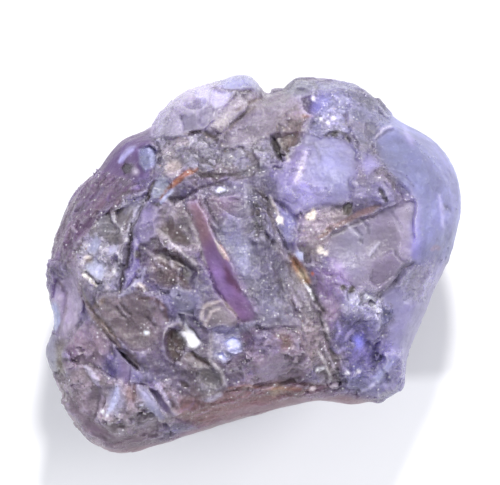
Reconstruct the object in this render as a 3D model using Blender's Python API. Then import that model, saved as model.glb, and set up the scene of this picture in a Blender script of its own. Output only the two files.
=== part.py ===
"""A lump of rough tanzanite, about 26 mm across, lying on its flattest side.

The crystal is one piece. Seen from above, its outline is a smooth curve through a ring of points.
It bulges above and below that outline like a pebble. Swells, broken faces, shell-shaped chips,
ledges and clefts are then cut into it, its skin is split into small tilted faces along the grain,
and it is cut off flat on the cleavage face that it rests on. +X is to the right of the broad face,
+Y to its top, and +Z up out of it.
"""

import math
import random

import bmesh
import bpy
import numpy as np
from mathutils import Vector, kdtree, noise

MM = 0.001

# Driving dimensions, in millimetres
GIRDLE_HEIGHT = 6.4
CROWN_HEIGHT = 9.2
BELLY_DEPTH = 7.4
TRIANGLES = 9000

# The outline at the girdle, as (x, y) in millimetres, going round from the right
OUTLINE = [
    (13.0, 4.1), (12.8, 5.3), (12.3, 6.4), (11.5, 7.4), (10.5, 8.2), (9.3, 8.8), (8.5, 9.4),
    (7.9, 10.1), (7.1, 10.9), (6.1, 11.3), (4.9, 11.4), (3.5, 11.5), (2.5, 11.3), (2.1, 10.9),
    (1.5, 10.7), (0.6, 10.6), (0.3, 11.2), (0.0, 11.7), (-0.7, 11.9), (-1.5, 11.7), (-2.1, 11.4),
    (-3.4, 11.0), (-4.7, 10.5), (-5.9, 9.4), (-6.5, 8.4), (-7.1, 8.1), (-7.9, 7.9), (-9.0, 6.9),
    (-9.8, 5.7), (-10.8, 4.7), (-11.8, 2.9), (-12.6, 0.7), (-12.8, -0.5), (-12.8, -2.4),
    (-12.7, -4.6), (-13.05, -5.1), (-13.1, -5.9), (-12.8, -6.7), (-12.2, -7.5), (-11.5, -9.1),
    (-10.7, -10.6), (-10.0, -11.3), (-9.2, -11.8), (-8.4, -12.0), (-7.3, -11.9), (-6.2, -11.6),
    (-4.9, -11.1), (-3.3, -10.6), (-1.5, -10.0), (0.7, -9.4), (2.6, -8.9), (4.3, -8.6),
    (5.1, -8.8), (5.8, -9.0), (6.9, -8.7), (8.0, -8.5), (8.9, -8.1), (9.3, -7.4), (9.4, -6.6),
    (9.4, -5.9), (9.9, -4.7), (10.4, -3.6), (10.9, -2.7), (11.1, -1.9), (11.5, -1.2),
    (12.1, 0.1), (12.6, 1.3), (12.9, 2.6),
]

# How square the crown's shoulder is towards each side: low is a slope, high is a steep wall
SHOULDER_MEAN = 2.8
SHOULDER_SWING = 0.45
STEEPEST_BEARING = -100.0
BELLY_FULLNESS = 2.2

# The bays of the outline fade out over this depth under the girdle, into an even curve
EVEN_DEPTH = 3.2
EVEN_WINDOW = math.radians(20.0)

# The grain: the direction in which the crystal splinters, and how long its splinters are
GRAIN_BEARING = -56.0
GRAIN_STRETCH = 2.3

# Broad rises and hollows of the crown: x, y, rise and reach
SWELLS = [
    (8.6, 3.6, 0.8, 3.6),
    (-7.0, 1.6, 0.5, 3.2),
    (-8.3, 6.4, 1.1, 1.2),
    (-0.7, 11.2, 1.5, 0.9),
    (7.7, -7.0, 1.0, 1.5),
    (3.4, -2.6, -0.7, 2.0),
    (-3.0, 7.0, -0.5, 2.2),
    (-10.6, -8.2, 0.6, 1.8),
]

# Broken faces of the crown: x, y, depth, the bearing that the face looks to, its lean and its reach
CROWN_FACES = [
    (-8.3, 1.7, 0.8, 160, 30, 3.6),
    (-10.0, 4.0, 0.4, 140, 55, 2.6),
    (-3.1, 9.3, 0.5, 112, 40, 2.4),
    (0.6, 7.4, 0.7, 100, 24, 3.4),
    (4.4, 5.0, 0.5, 170, 10, 3.0),
    (6.4, 8.9, 0.5, 72, 30, 2.8),
    (10.8, 4.4, 0.4, 15, 40, 3.4),
    (7.5, 1.2, 0.8, 290, 9, 2.8),
    (8.6, -4.2, 0.6, 325, 34, 3.4),
    (0.1, -0.3, 0.5, 335, 10, 3.6),
    (-5.0, -4.0, 0.6, 230, 12, 3.2),
    (-8.9, -7.0, 0.8, 222, 30, 3.2),
    (-2.0, -6.9, 0.6, 262, 22, 3.4),
    (-11.9, -3.0, 0.3, 182, 52, 1.9),
    (-4.0, -10.2, 0.5, 284, 66, 5.0),
    (3.4, -7.8, 0.4, 280, 55, 3.0),
]

# Shell-shaped chips of the crown: x, y, depth, bearing, lean and the radius of the shell
CROWN_CHIPS = [
    (-5.1, -0.5, 0.55, 200, 12, 2.6),
    (-4.6, -5.0, 0.60, 20, 25, 1.2),
    (-1.3, -5.1, 0.30, 60, 20, 1.1),
    (7.4, 1.0, 0.35, 0, 0, 6.0),
    (6.5, -4.9, 0.35, 340, 15, 1.5),
    (-11.6, -2.6, 0.30, 182, 50, 2.6),
    (-9.5, -9.6, 0.30, 230, 45, 1.8),
    (-6.6, -9.4, 0.30, 250, 35, 1.5),
    (-2.6, -7.1, 0.30, 280, 20, 1.1),
    (-2.2, 9.4, 0.35, 130, 35, 2.0),
    (-5.2, 8.3, 0.25, 140, 45, 1.6),
    (4.6, 4.4, 0.25, 170, 10, 3.4),
    (8.4, 7.5, 0.25, 60, 35, 2.4),
    (-9.9, 0.2, 0.30, 170, 35, 1.8),
    (-7.4, -3.4, 0.30, 220, 20, 1.9),
]

# Ledges: a path, then how far the stone drops on the path's right, the wall's width and the
# distance in which the lower side comes up again
LEDGES = [
    ([(-4.4, 3.7), (-3.0, 2.1), (-2.2, 0.7), (-1.4, -0.9), (-0.6, -2.4), (0.6, -3.7)], 1.15, 0.9, 3.0),
    (
        [(-7.8, -1.0), (-7.5, 0.8), (-7.0, 2.2), (-6.1, 3.4), (-5.2, 4.1), (-3.4, 4.7), (-1.7, 5.2),
         (-0.5, 5.4)],
        0.60, 0.50, 2.4,
    ),
    ([(8.2, 5.5), (9.2, 5.2), (9.8, 4.4), (9.9, 1.7), (9.9, -0.2)], 0.60, 0.45, 2.6),
    ([(4.3, 7.8), (4.8, 8.05), (5.3, 7.95), (5.8, 7.5)], 0.40, 0.25, 1.4),
    ([(4.3, 10.2), (3.7, 9.1), (2.9, 8.0), (2.4, 7.0), (2.1, 6.2), (1.4, 5.4)], 0.60, 0.50, 3.0),
    ([(2.6, 3.1), (3.4, 3.5), (4.6, 3.7), (6.1, 3.8)], 0.50, 0.35, 2.2),
    ([(-7.0, 5.0), (-5.6, 6.9), (-3.9, 7.7), (-2.3, 8.4), (-1.0, 10.0)], 0.45, 0.40, 1.8),
    (
        [(-11.3, -0.4), (-10.7, -1.6), (-10.2, -2.8), (-9.6, -3.8), (-8.6, -4.6), (-7.7, -5.6),
         (-6.8, -6.8)],
        0.50, 0.35, 1.8,
    ),
    ([(-6.2, -2.6), (-4.0, -3.0), (-2.0, -3.9), (0.4, -4.4)], 0.45, 0.35, 1.8),
    ([(4.6, -1.7), (6.0, -2.2), (7.4, -2.0), (8.8, -0.9), (10.6, 0.6)], 0.40, 0.40, 2.4),
]

# Clefts: a path, then the half width and the depth
CLEFTS = [
    ([(1.9, 4.9), (1.7, 3.4), (1.9, 1.6), (2.8, -1.2), (4.2, -4.4), (5.5, -7.6)], 1.30, 0.80),
    ([(1.3, 7.9), (1.7, 6.9), (2.0, 6.2)], 0.35, 0.45),
    ([(-6.4, 7.8), (-5.8, 7.1), (-5.9, 6.2), (-6.7, 5.2), (-7.8, 4.4)], 0.50, 0.50),
    ([(-8.3, -5.2), (-7.7, -5.8), (-7.2, -6.3), (-6.8, -7.0)], 0.45, 0.55),
    ([(-8.4, -6.9), (-9.0, -8.2), (-9.7, -9.6)], 0.55, 0.28),
    ([(-7.7, -7.0), (-7.9, -8.6), (-8.0, -10.2)], 0.50, 0.25),
    ([(-7.0, -7.1), (-6.6, -8.6), (-5.8, -9.9)], 0.55, 0.30),
    ([(4.8, 2.2), (6.2, 2.6), (7.8, 3.4)], 0.35, 0.35),
    ([(0.9, 10.7), (0.2, 9.6), (-1.4, 8.6)], 0.55, 0.45),
]

# Broken faces of the flanks and the belly: bearing, elevation seen from the middle, depth, reach
FLANK_FACES = [
    (12, -30, 0.9, 5.0),
    (58, -24, 0.8, 4.5),
    (100, -32, 1.0, 5.0),
    (142, -22, 0.7, 4.0),
    (176, -34, 1.0, 5.0),
    (214, -26, 0.8, 4.5),
    (258, -36, 0.9, 5.5),
    (300, -26, 0.8, 4.5),
    (336, -40, 0.9, 4.0),
]

# Shell-shaped chips of the flanks: bearing, elevation, depth and the radius of the shell
FLANK_CHIPS = [
    (34, -16, 0.45, 3.0),
    (80, -18, 0.40, 2.4),
    (122, -40, 0.50, 3.2),
    (160, -14, 0.35, 2.2),
    (196, -44, 0.50, 3.4),
    (238, -18, 0.40, 2.6),
    (282, -44, 0.45, 3.0),
    (318, -16, 0.40, 2.4),
    (352, -20, 0.35, 2.0),
]

# How far the edges of chips, ledges and clefts wander, over what length, and the seed of the shifts
WANDER = 0.32
WANDER_LENGTH = 1.7
WANDER_SEED = 1796048941

# Small tilted faces along the grain: the size of a face, the relief, and the seed of their places
SPLINTERS = [
    (2.4, 0.34, 11),
    (1.2, 0.13, 12),
]
# The share of that relief that the girdle's rim keeps
RIM_RELIEF = 0.3
# Stretches that stay smooth: x, y and reach
SMOOTH_PATCHES = [
    (11.2, 3.4, 3.2),
    (10.6, -2.6, 1.8),
    (-0.7, 11.2, 0.9),
    (-8.4, 6.4, 1.3),
    (7.4, 0.6, 2.0),
    (4.0, 5.6, 2.0),
    (-4.6, -10.6, 2.2),
    (0.6, -9.4, 2.2),
    (-8.2, -11.4, 1.8),
    (8.4, -7.4, 1.4),
]


def clear_scene():
    for obj in list(bpy.data.objects):
        bpy.data.objects.remove(obj)


def smoothstep(low, high, value):
    share = np.clip((value - low) / (high - low), 0.0, 1.0)
    return share * share * (3.0 - 2.0 * share)


def unit(bearing, elevation):
    """The direction of a compass bearing from +X and an elevation, both in degrees."""
    a = math.radians(bearing)
    e = math.radians(elevation)
    return np.array([math.cos(e) * math.cos(a), math.cos(e) * math.sin(a), math.sin(e)])


def outline_radius(bearings):
    """The girdle's distance from the middle at each bearing in radians, on a curve through OUTLINE."""
    points = np.array(OUTLINE)
    angles = np.arctan2(points[:, 1], points[:, 0])
    bearings = (bearings + math.pi) % (2.0 * math.pi) - math.pi
    order = np.argsort(angles)
    angles = angles[order]
    radii = np.hypot(points[:, 0], points[:, 1])[order]
    turn = 2.0 * math.pi
    angles = np.concatenate([angles[-2:] - turn, angles, angles[:2] + turn])
    radii = np.concatenate([radii[-2:], radii, radii[:2]])
    slopes = np.gradient(radii, angles)
    spot = np.clip(np.searchsorted(angles, bearings) - 1, 0, len(angles) - 2)
    gap = angles[spot + 1] - angles[spot]
    t = (bearings - angles[spot]) / gap
    start = (2 * t**3 - 3 * t**2 + 1) * radii[spot] + (t**3 - 2 * t**2 + t) * gap * slopes[spot]
    end = (3 * t**2 - 2 * t**3) * radii[spot + 1] + (t**3 - t**2) * gap * slopes[spot + 1]
    return start + end


def pebble(directions):
    """The uncut lump: each direction on the unit sphere moved out to a rounded form over the outline."""
    bearings = np.arctan2(directions[:, 1], directions[:, 0])
    level = np.hypot(directions[:, 0], directions[:, 1])
    up = directions[:, 2]
    swing = np.cos(bearings - math.radians(STEEPEST_BEARING))
    fullness = np.where(up > 0, SHOULDER_MEAN + SHOULDER_SWING * swing, BELLY_FULLNESS)
    height = np.where(up > 0, CROWN_HEIGHT, BELLY_DEPTH)
    rise = height * np.sign(up) * np.abs(up) ** (2.0 / fullness)
    window = np.linspace(-EVEN_WINDOW, EVEN_WINDOW, 7)
    even = np.mean([outline_radius(bearings + turn) for turn in window], axis=0)
    depth = smoothstep(0.0, EVEN_DEPTH, -rise)
    radius = outline_radius(bearings) * (1.0 - depth) + even * depth
    out = radius * level ** (2.0 / fullness)
    return np.column_stack([out * np.cos(bearings), out * np.sin(bearings), rise])


def vertex_normals(points, faces):
    corners = points[faces]
    across = np.cross(corners[:, 1] - corners[:, 0], corners[:, 2] - corners[:, 0])
    normals = np.zeros_like(points)
    for corner in range(3):
        np.add.at(normals, faces[:, corner], across)
    return normals / np.maximum(np.linalg.norm(normals, axis=1), 1e-9)[:, None]


def crown_spot(points, x, y):
    """The point of the crown straight above (x, y)."""
    away = np.hypot(points[:, 0] - x, points[:, 1] - y) + np.where(points[:, 2] > 0, 0.0, 100.0)
    return np.array([x, y, points[np.argmin(away), 2]])


def flank_spot(points, direction):
    """The point of the stone that lies furthest in a direction from the middle."""
    along = points @ direction
    aside = np.linalg.norm(points - np.outer(along, direction), axis=1)
    return points[np.argmin(aside + np.where(along > 0, 0.0, 100.0))].copy()


def swell(points, x, y, rise, reach):
    away = np.hypot(points[:, 0] - x, points[:, 1] - y) / reach
    up = smoothstep(-0.5, 2.5, points[:, 2])
    points[:, 2] += rise * up * np.exp(-(away**2))


def break_face(points, spot, facing, depth, reach):
    """Takes off what stands above a plane that lies depth under spot, fading out past reach."""
    offset = points - (spot - facing * depth)
    height = offset @ facing
    aside = np.linalg.norm(offset - np.outer(height, facing), axis=1)
    share = 1.0 - smoothstep(reach, reach * 1.6, aside)
    points -= np.outer(np.maximum(height, 0.0) * share, facing)


def chip(points, bend, spot, facing, depth, radius):
    """Takes out a shell-shaped flake, by pushing the skin to the outside of an uneven ball."""
    offset = points + bend - (spot + facing * (radius - depth))
    distance = np.maximum(np.linalg.norm(offset, axis=1), 1e-6)
    inside = distance < radius
    points[inside] += offset[inside] * (radius / distance[inside] - 1.0)[:, None]


def along_path(points, path):
    """For each point, its distance from a path seen from above, positive to the path's right, and
    how far it lies from the path's ends, 0 at an end and 1 in the middle."""
    best = np.full(len(points), 1e9)
    signed = np.zeros(len(points))
    travel = np.zeros(len(points))
    corners = np.array(path, float)
    lengths = np.linalg.norm(np.diff(corners, axis=0), axis=1)
    passed = 0.0
    for start, end, length in zip(corners[:-1], corners[1:], lengths):
        ahead = (end - start) / length
        offset = points[:, :2] - start
        forward = np.clip(offset @ ahead, 0.0, length)
        rest = offset - np.outer(forward, ahead)
        distance = np.linalg.norm(rest, axis=1)
        side = np.sign(offset[:, 0] * ahead[1] - offset[:, 1] * ahead[0])
        nearer = distance < best
        best = np.where(nearer, distance, best)
        signed = np.where(nearer, distance * side, signed)
        travel = np.where(nearer, (passed + forward) / lengths.sum(), travel)
        passed += length
    return signed, 1.0 - np.abs(2.0 * travel - 1.0)


def ledge(points, bend, path, drop, wall, fade):
    """Drops the crown on the right of a path by a steep wall. The drop fades with distance."""
    side, middle = along_path(points + bend, path)
    lower = smoothstep(0.0, wall, side) * np.exp(-np.maximum(side - wall, 0.0) / fade)
    crown = smoothstep(0.5, 2.5, points[:, 2])
    points[:, 2] -= drop * lower * smoothstep(0.0, 0.35, middle) * crown


def cleft(points, bend, path, width, depth):
    """Sinks a V-shaped furrow along a path on the crown."""
    side, middle = along_path(points + bend, path)
    across = np.maximum(1.0 - np.abs(side) / width, 0.0)
    crown = smoothstep(0.5, 2.5, points[:, 2])
    points[:, 2] -= depth * across * smoothstep(0.0, 0.3, middle) * crown


def along_grain(points):
    """The points squeezed along the grain, so that an even cell there is a long splinter here."""
    a = math.radians(GRAIN_BEARING)
    grain = np.array([math.cos(a), math.sin(a), 0.0])
    forward = points @ grain
    return points - np.outer(forward * (1.0 - 1.0 / GRAIN_STRETCH), grain)


def smooth_share(points):
    """1 on the smooth patches of the crown and 0 elsewhere."""
    share = np.zeros(len(points))
    for x, y, reach in SMOOTH_PATCHES:
        away = np.hypot(points[:, 0] - x, points[:, 1] - y)
        patch = (1.0 - smoothstep(reach * 0.7, reach * 1.3, away)) * (points[:, 2] > -1.0)
        share = np.maximum(share, patch)
    return share


def splinter(points, faces, size, relief, seed):
    """Splits the skin into tilted faces: each point moves by the slope of the cell that it is in."""
    dice = random.Random(seed)
    squeezed = along_grain(points)
    low = squeezed.min(axis=0) - size
    high = squeezed.max(axis=0) + size
    count = int(np.prod((high - low) / size))
    tree = kdtree.KDTree(count)
    middles = np.array([[dice.uniform(low[k], high[k]) for k in range(3)] for _ in range(count)])
    slopes = np.array([[dice.uniform(-1.0, 1.0) for _ in range(3)] for _ in range(count)])
    for number, middle in enumerate(middles):
        tree.insert(Vector(middle), number)
    tree.balance()
    cell = np.array([tree.find(Vector(point))[1] for point in squeezed])
    tilt = np.einsum("ij,ij->i", squeezed - middles[cell], slopes[cell]) / size
    normals = vertex_normals(points, faces)
    faced = np.maximum(smoothstep(0.1, 0.6, np.abs(normals[:, 2])), smoothstep(1.0, 3.0, -points[:, 2]))
    faced = RIM_RELIEF + (1.0 - RIM_RELIEF) * faced
    share = (1.0 - 0.9 * smooth_share(points)) * faced
    points += normals * (relief * np.clip(tilt, -1.2, 1.2) * share)[:, None]


def wander(points):
    """A slow, smooth shift of each point, by which straight cuts come out uneven."""
    noise.seed_set(WANDER_SEED)
    return WANDER * np.array([noise.noise_vector(Vector(point) / WANDER_LENGTH) for point in points])


def sculpt(points, faces):
    bend = wander(points)
    for x, y, rise, reach in SWELLS:
        swell(points, x, y, rise, reach)
    splinter(points, faces, *SPLINTERS[0])
    for x, y, depth, bearing, lean, reach in CROWN_FACES:
        break_face(points, crown_spot(points, x, y), unit(bearing, 90 - lean), depth, reach)
    for bearing, elevation, depth, reach in FLANK_FACES:
        facing = unit(bearing, elevation)
        break_face(points, flank_spot(points, facing), facing, depth, reach)
    for x, y, depth, bearing, lean, radius in CROWN_CHIPS:
        chip(points, bend, crown_spot(points, x, y), unit(bearing, 90 - lean), depth, radius)
    for bearing, elevation, depth, radius in FLANK_CHIPS:
        facing = unit(bearing, elevation)
        chip(points, bend, flank_spot(points, facing), facing, depth, radius)
    splinter(points, faces, *SPLINTERS[1])
    for path, drop, wall, fade in LEDGES:
        ledge(points, bend, path, drop, wall, fade)
    for path, width, depth in CLEFTS:
        cleft(points, bend, path, width, depth)


def rough_stone(collection):
    """The sculpted lump as an object, with its triangles thinned out where it is flat."""
    mesh = bpy.data.meshes.new("stone_skin")
    bm = bmesh.new()
    bmesh.ops.create_icosphere(bm, subdivisions=7, radius=1.0)
    bm.to_mesh(mesh)
    bm.free()
    directions = np.empty(len(mesh.vertices) * 3)
    mesh.vertices.foreach_get("co", directions)
    faces = np.empty(len(mesh.polygons) * 3, np.int32)
    mesh.polygons.foreach_get("vertices", faces)
    faces = faces.reshape(-1, 3)
    points = pebble(directions.reshape(-1, 3))
    sculpt(points, faces)
    mesh.vertices.foreach_set("co", (points * MM).ravel())
    mesh.update()
    obj = bpy.data.objects.new("stone_skin", mesh)
    collection.objects.link(obj)
    thin = obj.modifiers.new("Thin out", "DECIMATE")
    thin.ratio = TRIANGLES / len(mesh.polygons)
    return obj


def cut_to_rest(skin, name, collection):
    """The finished solid: cut off flat at the cleavage face, and set down with its middle at the origin."""
    graph = bpy.context.evaluated_depsgraph_get()
    mesh = bpy.data.meshes.new_from_object(skin.evaluated_get(graph))
    mesh.name = name
    bpy.data.objects.remove(skin)
    bm = bmesh.new()
    bm.from_mesh(mesh)
    cut = bmesh.ops.bisect_plane(
        bm,
        geom=bm.verts[:] + bm.edges[:] + bm.faces[:],
        dist=0.00002,
        plane_co=(0, 0, -GIRDLE_HEIGHT * MM),
        plane_no=(0, 0, -1),
        clear_outer=True,
    )
    rim = [part for part in cut["geom_cut"] if isinstance(part, bmesh.types.BMEdge)]
    bmesh.ops.contextual_create(bm, geom=rim)
    bmesh.ops.triangulate(bm, faces=bm.faces[:])
    low = [min(v.co[k] for v in bm.verts) for k in range(3)]
    high = [max(v.co[k] for v in bm.verts) for k in range(3)]
    shift = (-(low[0] + high[0]) / 2, -(low[1] + high[1]) / 2, -low[2])
    bmesh.ops.translate(bm, verts=bm.verts[:], vec=shift)
    bm.to_mesh(mesh)
    bm.free()
    obj = bpy.data.objects.new(name, mesh)
    collection.objects.link(obj)
    return obj


def tanzanite_material():
    """Translucent grey violet, with the gloss of a broken gem crystal."""
    material = bpy.data.materials.new("tanzanite")
    material.use_nodes = True
    shader = material.node_tree.nodes["Principled BSDF"]
    shader.inputs["Base Color"].default_value = (0.27, 0.25, 0.42, 1.0)
    shader.inputs["Metallic"].default_value = 0.0
    shader.inputs["Roughness"].default_value = 0.28
    shader.inputs["IOR"].default_value = 1.69
    return material


def main():
    clear_scene()
    collection = bpy.data.collections.new("rough tanzanite")
    bpy.context.scene.collection.children.link(collection)
    skin = rough_stone(collection)
    stone = cut_to_rest(skin, "tanzanite_crystal", collection)
    stone.data.materials.clear()
    stone.data.materials.append(tanzanite_material())


main()
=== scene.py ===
"""A lump of rough tanzanite, 26 mm across, lying on a pale table and seen from straight above.

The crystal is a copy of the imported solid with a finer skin, so every small break, ledge, furrow and
chip is a real form. Sizes are in millimetres until the mesh is stored.
"""

import math
import random

import bmesh
import bpy
import numpy as np
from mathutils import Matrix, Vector, kdtree, noise


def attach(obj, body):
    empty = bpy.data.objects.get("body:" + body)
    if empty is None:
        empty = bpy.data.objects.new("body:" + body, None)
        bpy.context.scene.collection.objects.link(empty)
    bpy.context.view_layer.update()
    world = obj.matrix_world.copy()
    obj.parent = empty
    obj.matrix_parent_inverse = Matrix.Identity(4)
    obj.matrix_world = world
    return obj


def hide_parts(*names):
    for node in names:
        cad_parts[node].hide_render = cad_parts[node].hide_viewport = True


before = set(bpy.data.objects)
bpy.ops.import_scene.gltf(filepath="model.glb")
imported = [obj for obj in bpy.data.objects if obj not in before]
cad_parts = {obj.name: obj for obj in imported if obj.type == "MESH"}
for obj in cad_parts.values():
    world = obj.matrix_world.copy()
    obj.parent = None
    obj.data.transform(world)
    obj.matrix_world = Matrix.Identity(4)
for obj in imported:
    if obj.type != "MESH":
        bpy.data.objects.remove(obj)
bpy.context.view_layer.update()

for startup in ("Cube", "Camera", "Light"):
    if startup in bpy.data.objects:
        bpy.data.objects.remove(bpy.data.objects[startup])


# The lump
# One natural crystal of zoisite, broken out of its vein. The copy gets an even skin of small
# quads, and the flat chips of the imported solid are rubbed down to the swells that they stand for.

MM = 0.001
SKIN_QUAD = 0.120
PLAIN_BELOW = 5.0
MOST_TRIANGLES = 190000
GIRDLE = 6.4
CHIP_ROUNDS = 5

lump_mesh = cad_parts["tanzanite_crystal"].data.copy()
bm = bmesh.new()
bm.from_mesh(lump_mesh)
bmesh.ops.remove_doubles(bm, verts=bm.verts[:], dist=0.000001)
bm.to_mesh(lump_mesh)
bm.free()
lump = bpy.data.objects.new("crystal", lump_mesh)
bpy.context.scene.collection.objects.link(lump)
even = lump.modifiers.new("Even skin", "REMESH")
even.mode = "VOXEL"
even.voxel_size = SKIN_QUAD * MM


def settle():
    """Makes the mesh that the modifiers give the crystal's own."""
    graph = bpy.context.evaluated_depsgraph_get()
    made = bpy.data.meshes.new_from_object(lump.evaluated_get(graph))
    lump.modifiers.clear()
    spent = lump.data
    lump.data = made
    bpy.data.meshes.remove(spent)
    made.name = "crystal"
    return made


skin_mesh = settle()
plain_side = [v.index for v in skin_mesh.vertices if v.co.z < PLAIN_BELOW * MM or v.normal.z < 0]
lump.vertex_groups.new(name="plain side").add(plain_side, 1.0, "REPLACE")
coarser = lump.modifiers.new("Coarser below", "DECIMATE")
coarser.vertex_group = "plain side"
coarser.ratio = MOST_TRIANGLES / (2 * len(skin_mesh.polygons))
skin_mesh = settle()

skin = np.empty(len(skin_mesh.vertices) * 3)
skin_mesh.vertices.foreach_get("co", skin)
skin = skin.reshape(-1, 3) / MM
skin_mesh.calc_loop_triangles()
corners_of = np.empty(len(skin_mesh.loop_triangles) * 3, np.int32)
skin_mesh.loop_triangles.foreach_get("vertices", corners_of)
corners_of = corners_of.reshape(-1, 3)
links = np.empty(len(skin_mesh.edges) * 2, np.int32)
skin_mesh.edges.foreach_get("vertices", links)
links = links.reshape(-1, 2)
link_count = np.bincount(links.ravel(), minlength=len(skin))


def ease(low, high, value):
    """Goes smoothly from 0 to 1 as the value goes from low to high."""
    share = np.clip((value - low) / (high - low), 0.0, 1.0)
    return share * share * (3.0 - 2.0 * share)


def outward():
    """The direction that the skin faces at each point."""
    corners = skin[corners_of]
    across = np.cross(corners[:, 1] - corners[:, 0], corners[:, 2] - corners[:, 0])
    facing = np.zeros_like(skin)
    for axis in range(3):
        for corner in range(3):
            facing[:, axis] += np.bincount(corners_of[:, corner], across[:, axis], len(skin))
    return facing / np.maximum(np.linalg.norm(facing, axis=1), 1e-9)[:, None]


def neighbour_mean(values):
    """The mean of each point's values over the points that it is linked to."""
    total = np.zeros_like(values)
    for axis in range(values.shape[1]):
        total[:, axis] = np.bincount(links[:, 0], values[links[:, 1], axis], len(values))
        total[:, axis] += np.bincount(links[:, 1], values[links[:, 0], axis], len(values))
    return total / link_count[:, None]


def rub(share, rounds):
    """Wears the skin smooth where share is high."""
    for _ in range(rounds):
        skin[:] += (0.6 * share)[:, None] * (neighbour_mean(skin) - skin)


def noise_field(length, seed):
    """A smooth random vector for each point, slow over the given length."""
    noise.seed_set(seed)
    place = Vector((seed * 17.3, seed * 5.1, seed * 9.7))
    return np.array([noise.noise_vector(Vector(point) / length + place) for point in skin])


broad_wander = noise_field(1.6, 1)
fine_wander = noise_field(0.5, 2)
above_base = ease(0.15, 1.2, skin[:, 2])
rub(above_base, CHIP_ROUNDS)
upward = outward()[:, 2]
crown = ease(-0.15, 0.25, upward) * ease(GIRDLE - 3.0, GIRDLE - 1.0, skin[:, 2])
seen = ease(-0.3, 0.05, upward)


# The faces
# The crystal broke along flat and hollow faces that meet in sharp edges. Each has a colour, how
# flat, sunk and sloping it is and where it looks, how splintered, clear, shining and stained it
# is, the softness of its edge, and its outline from above. A flush face follows the skin.

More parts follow.
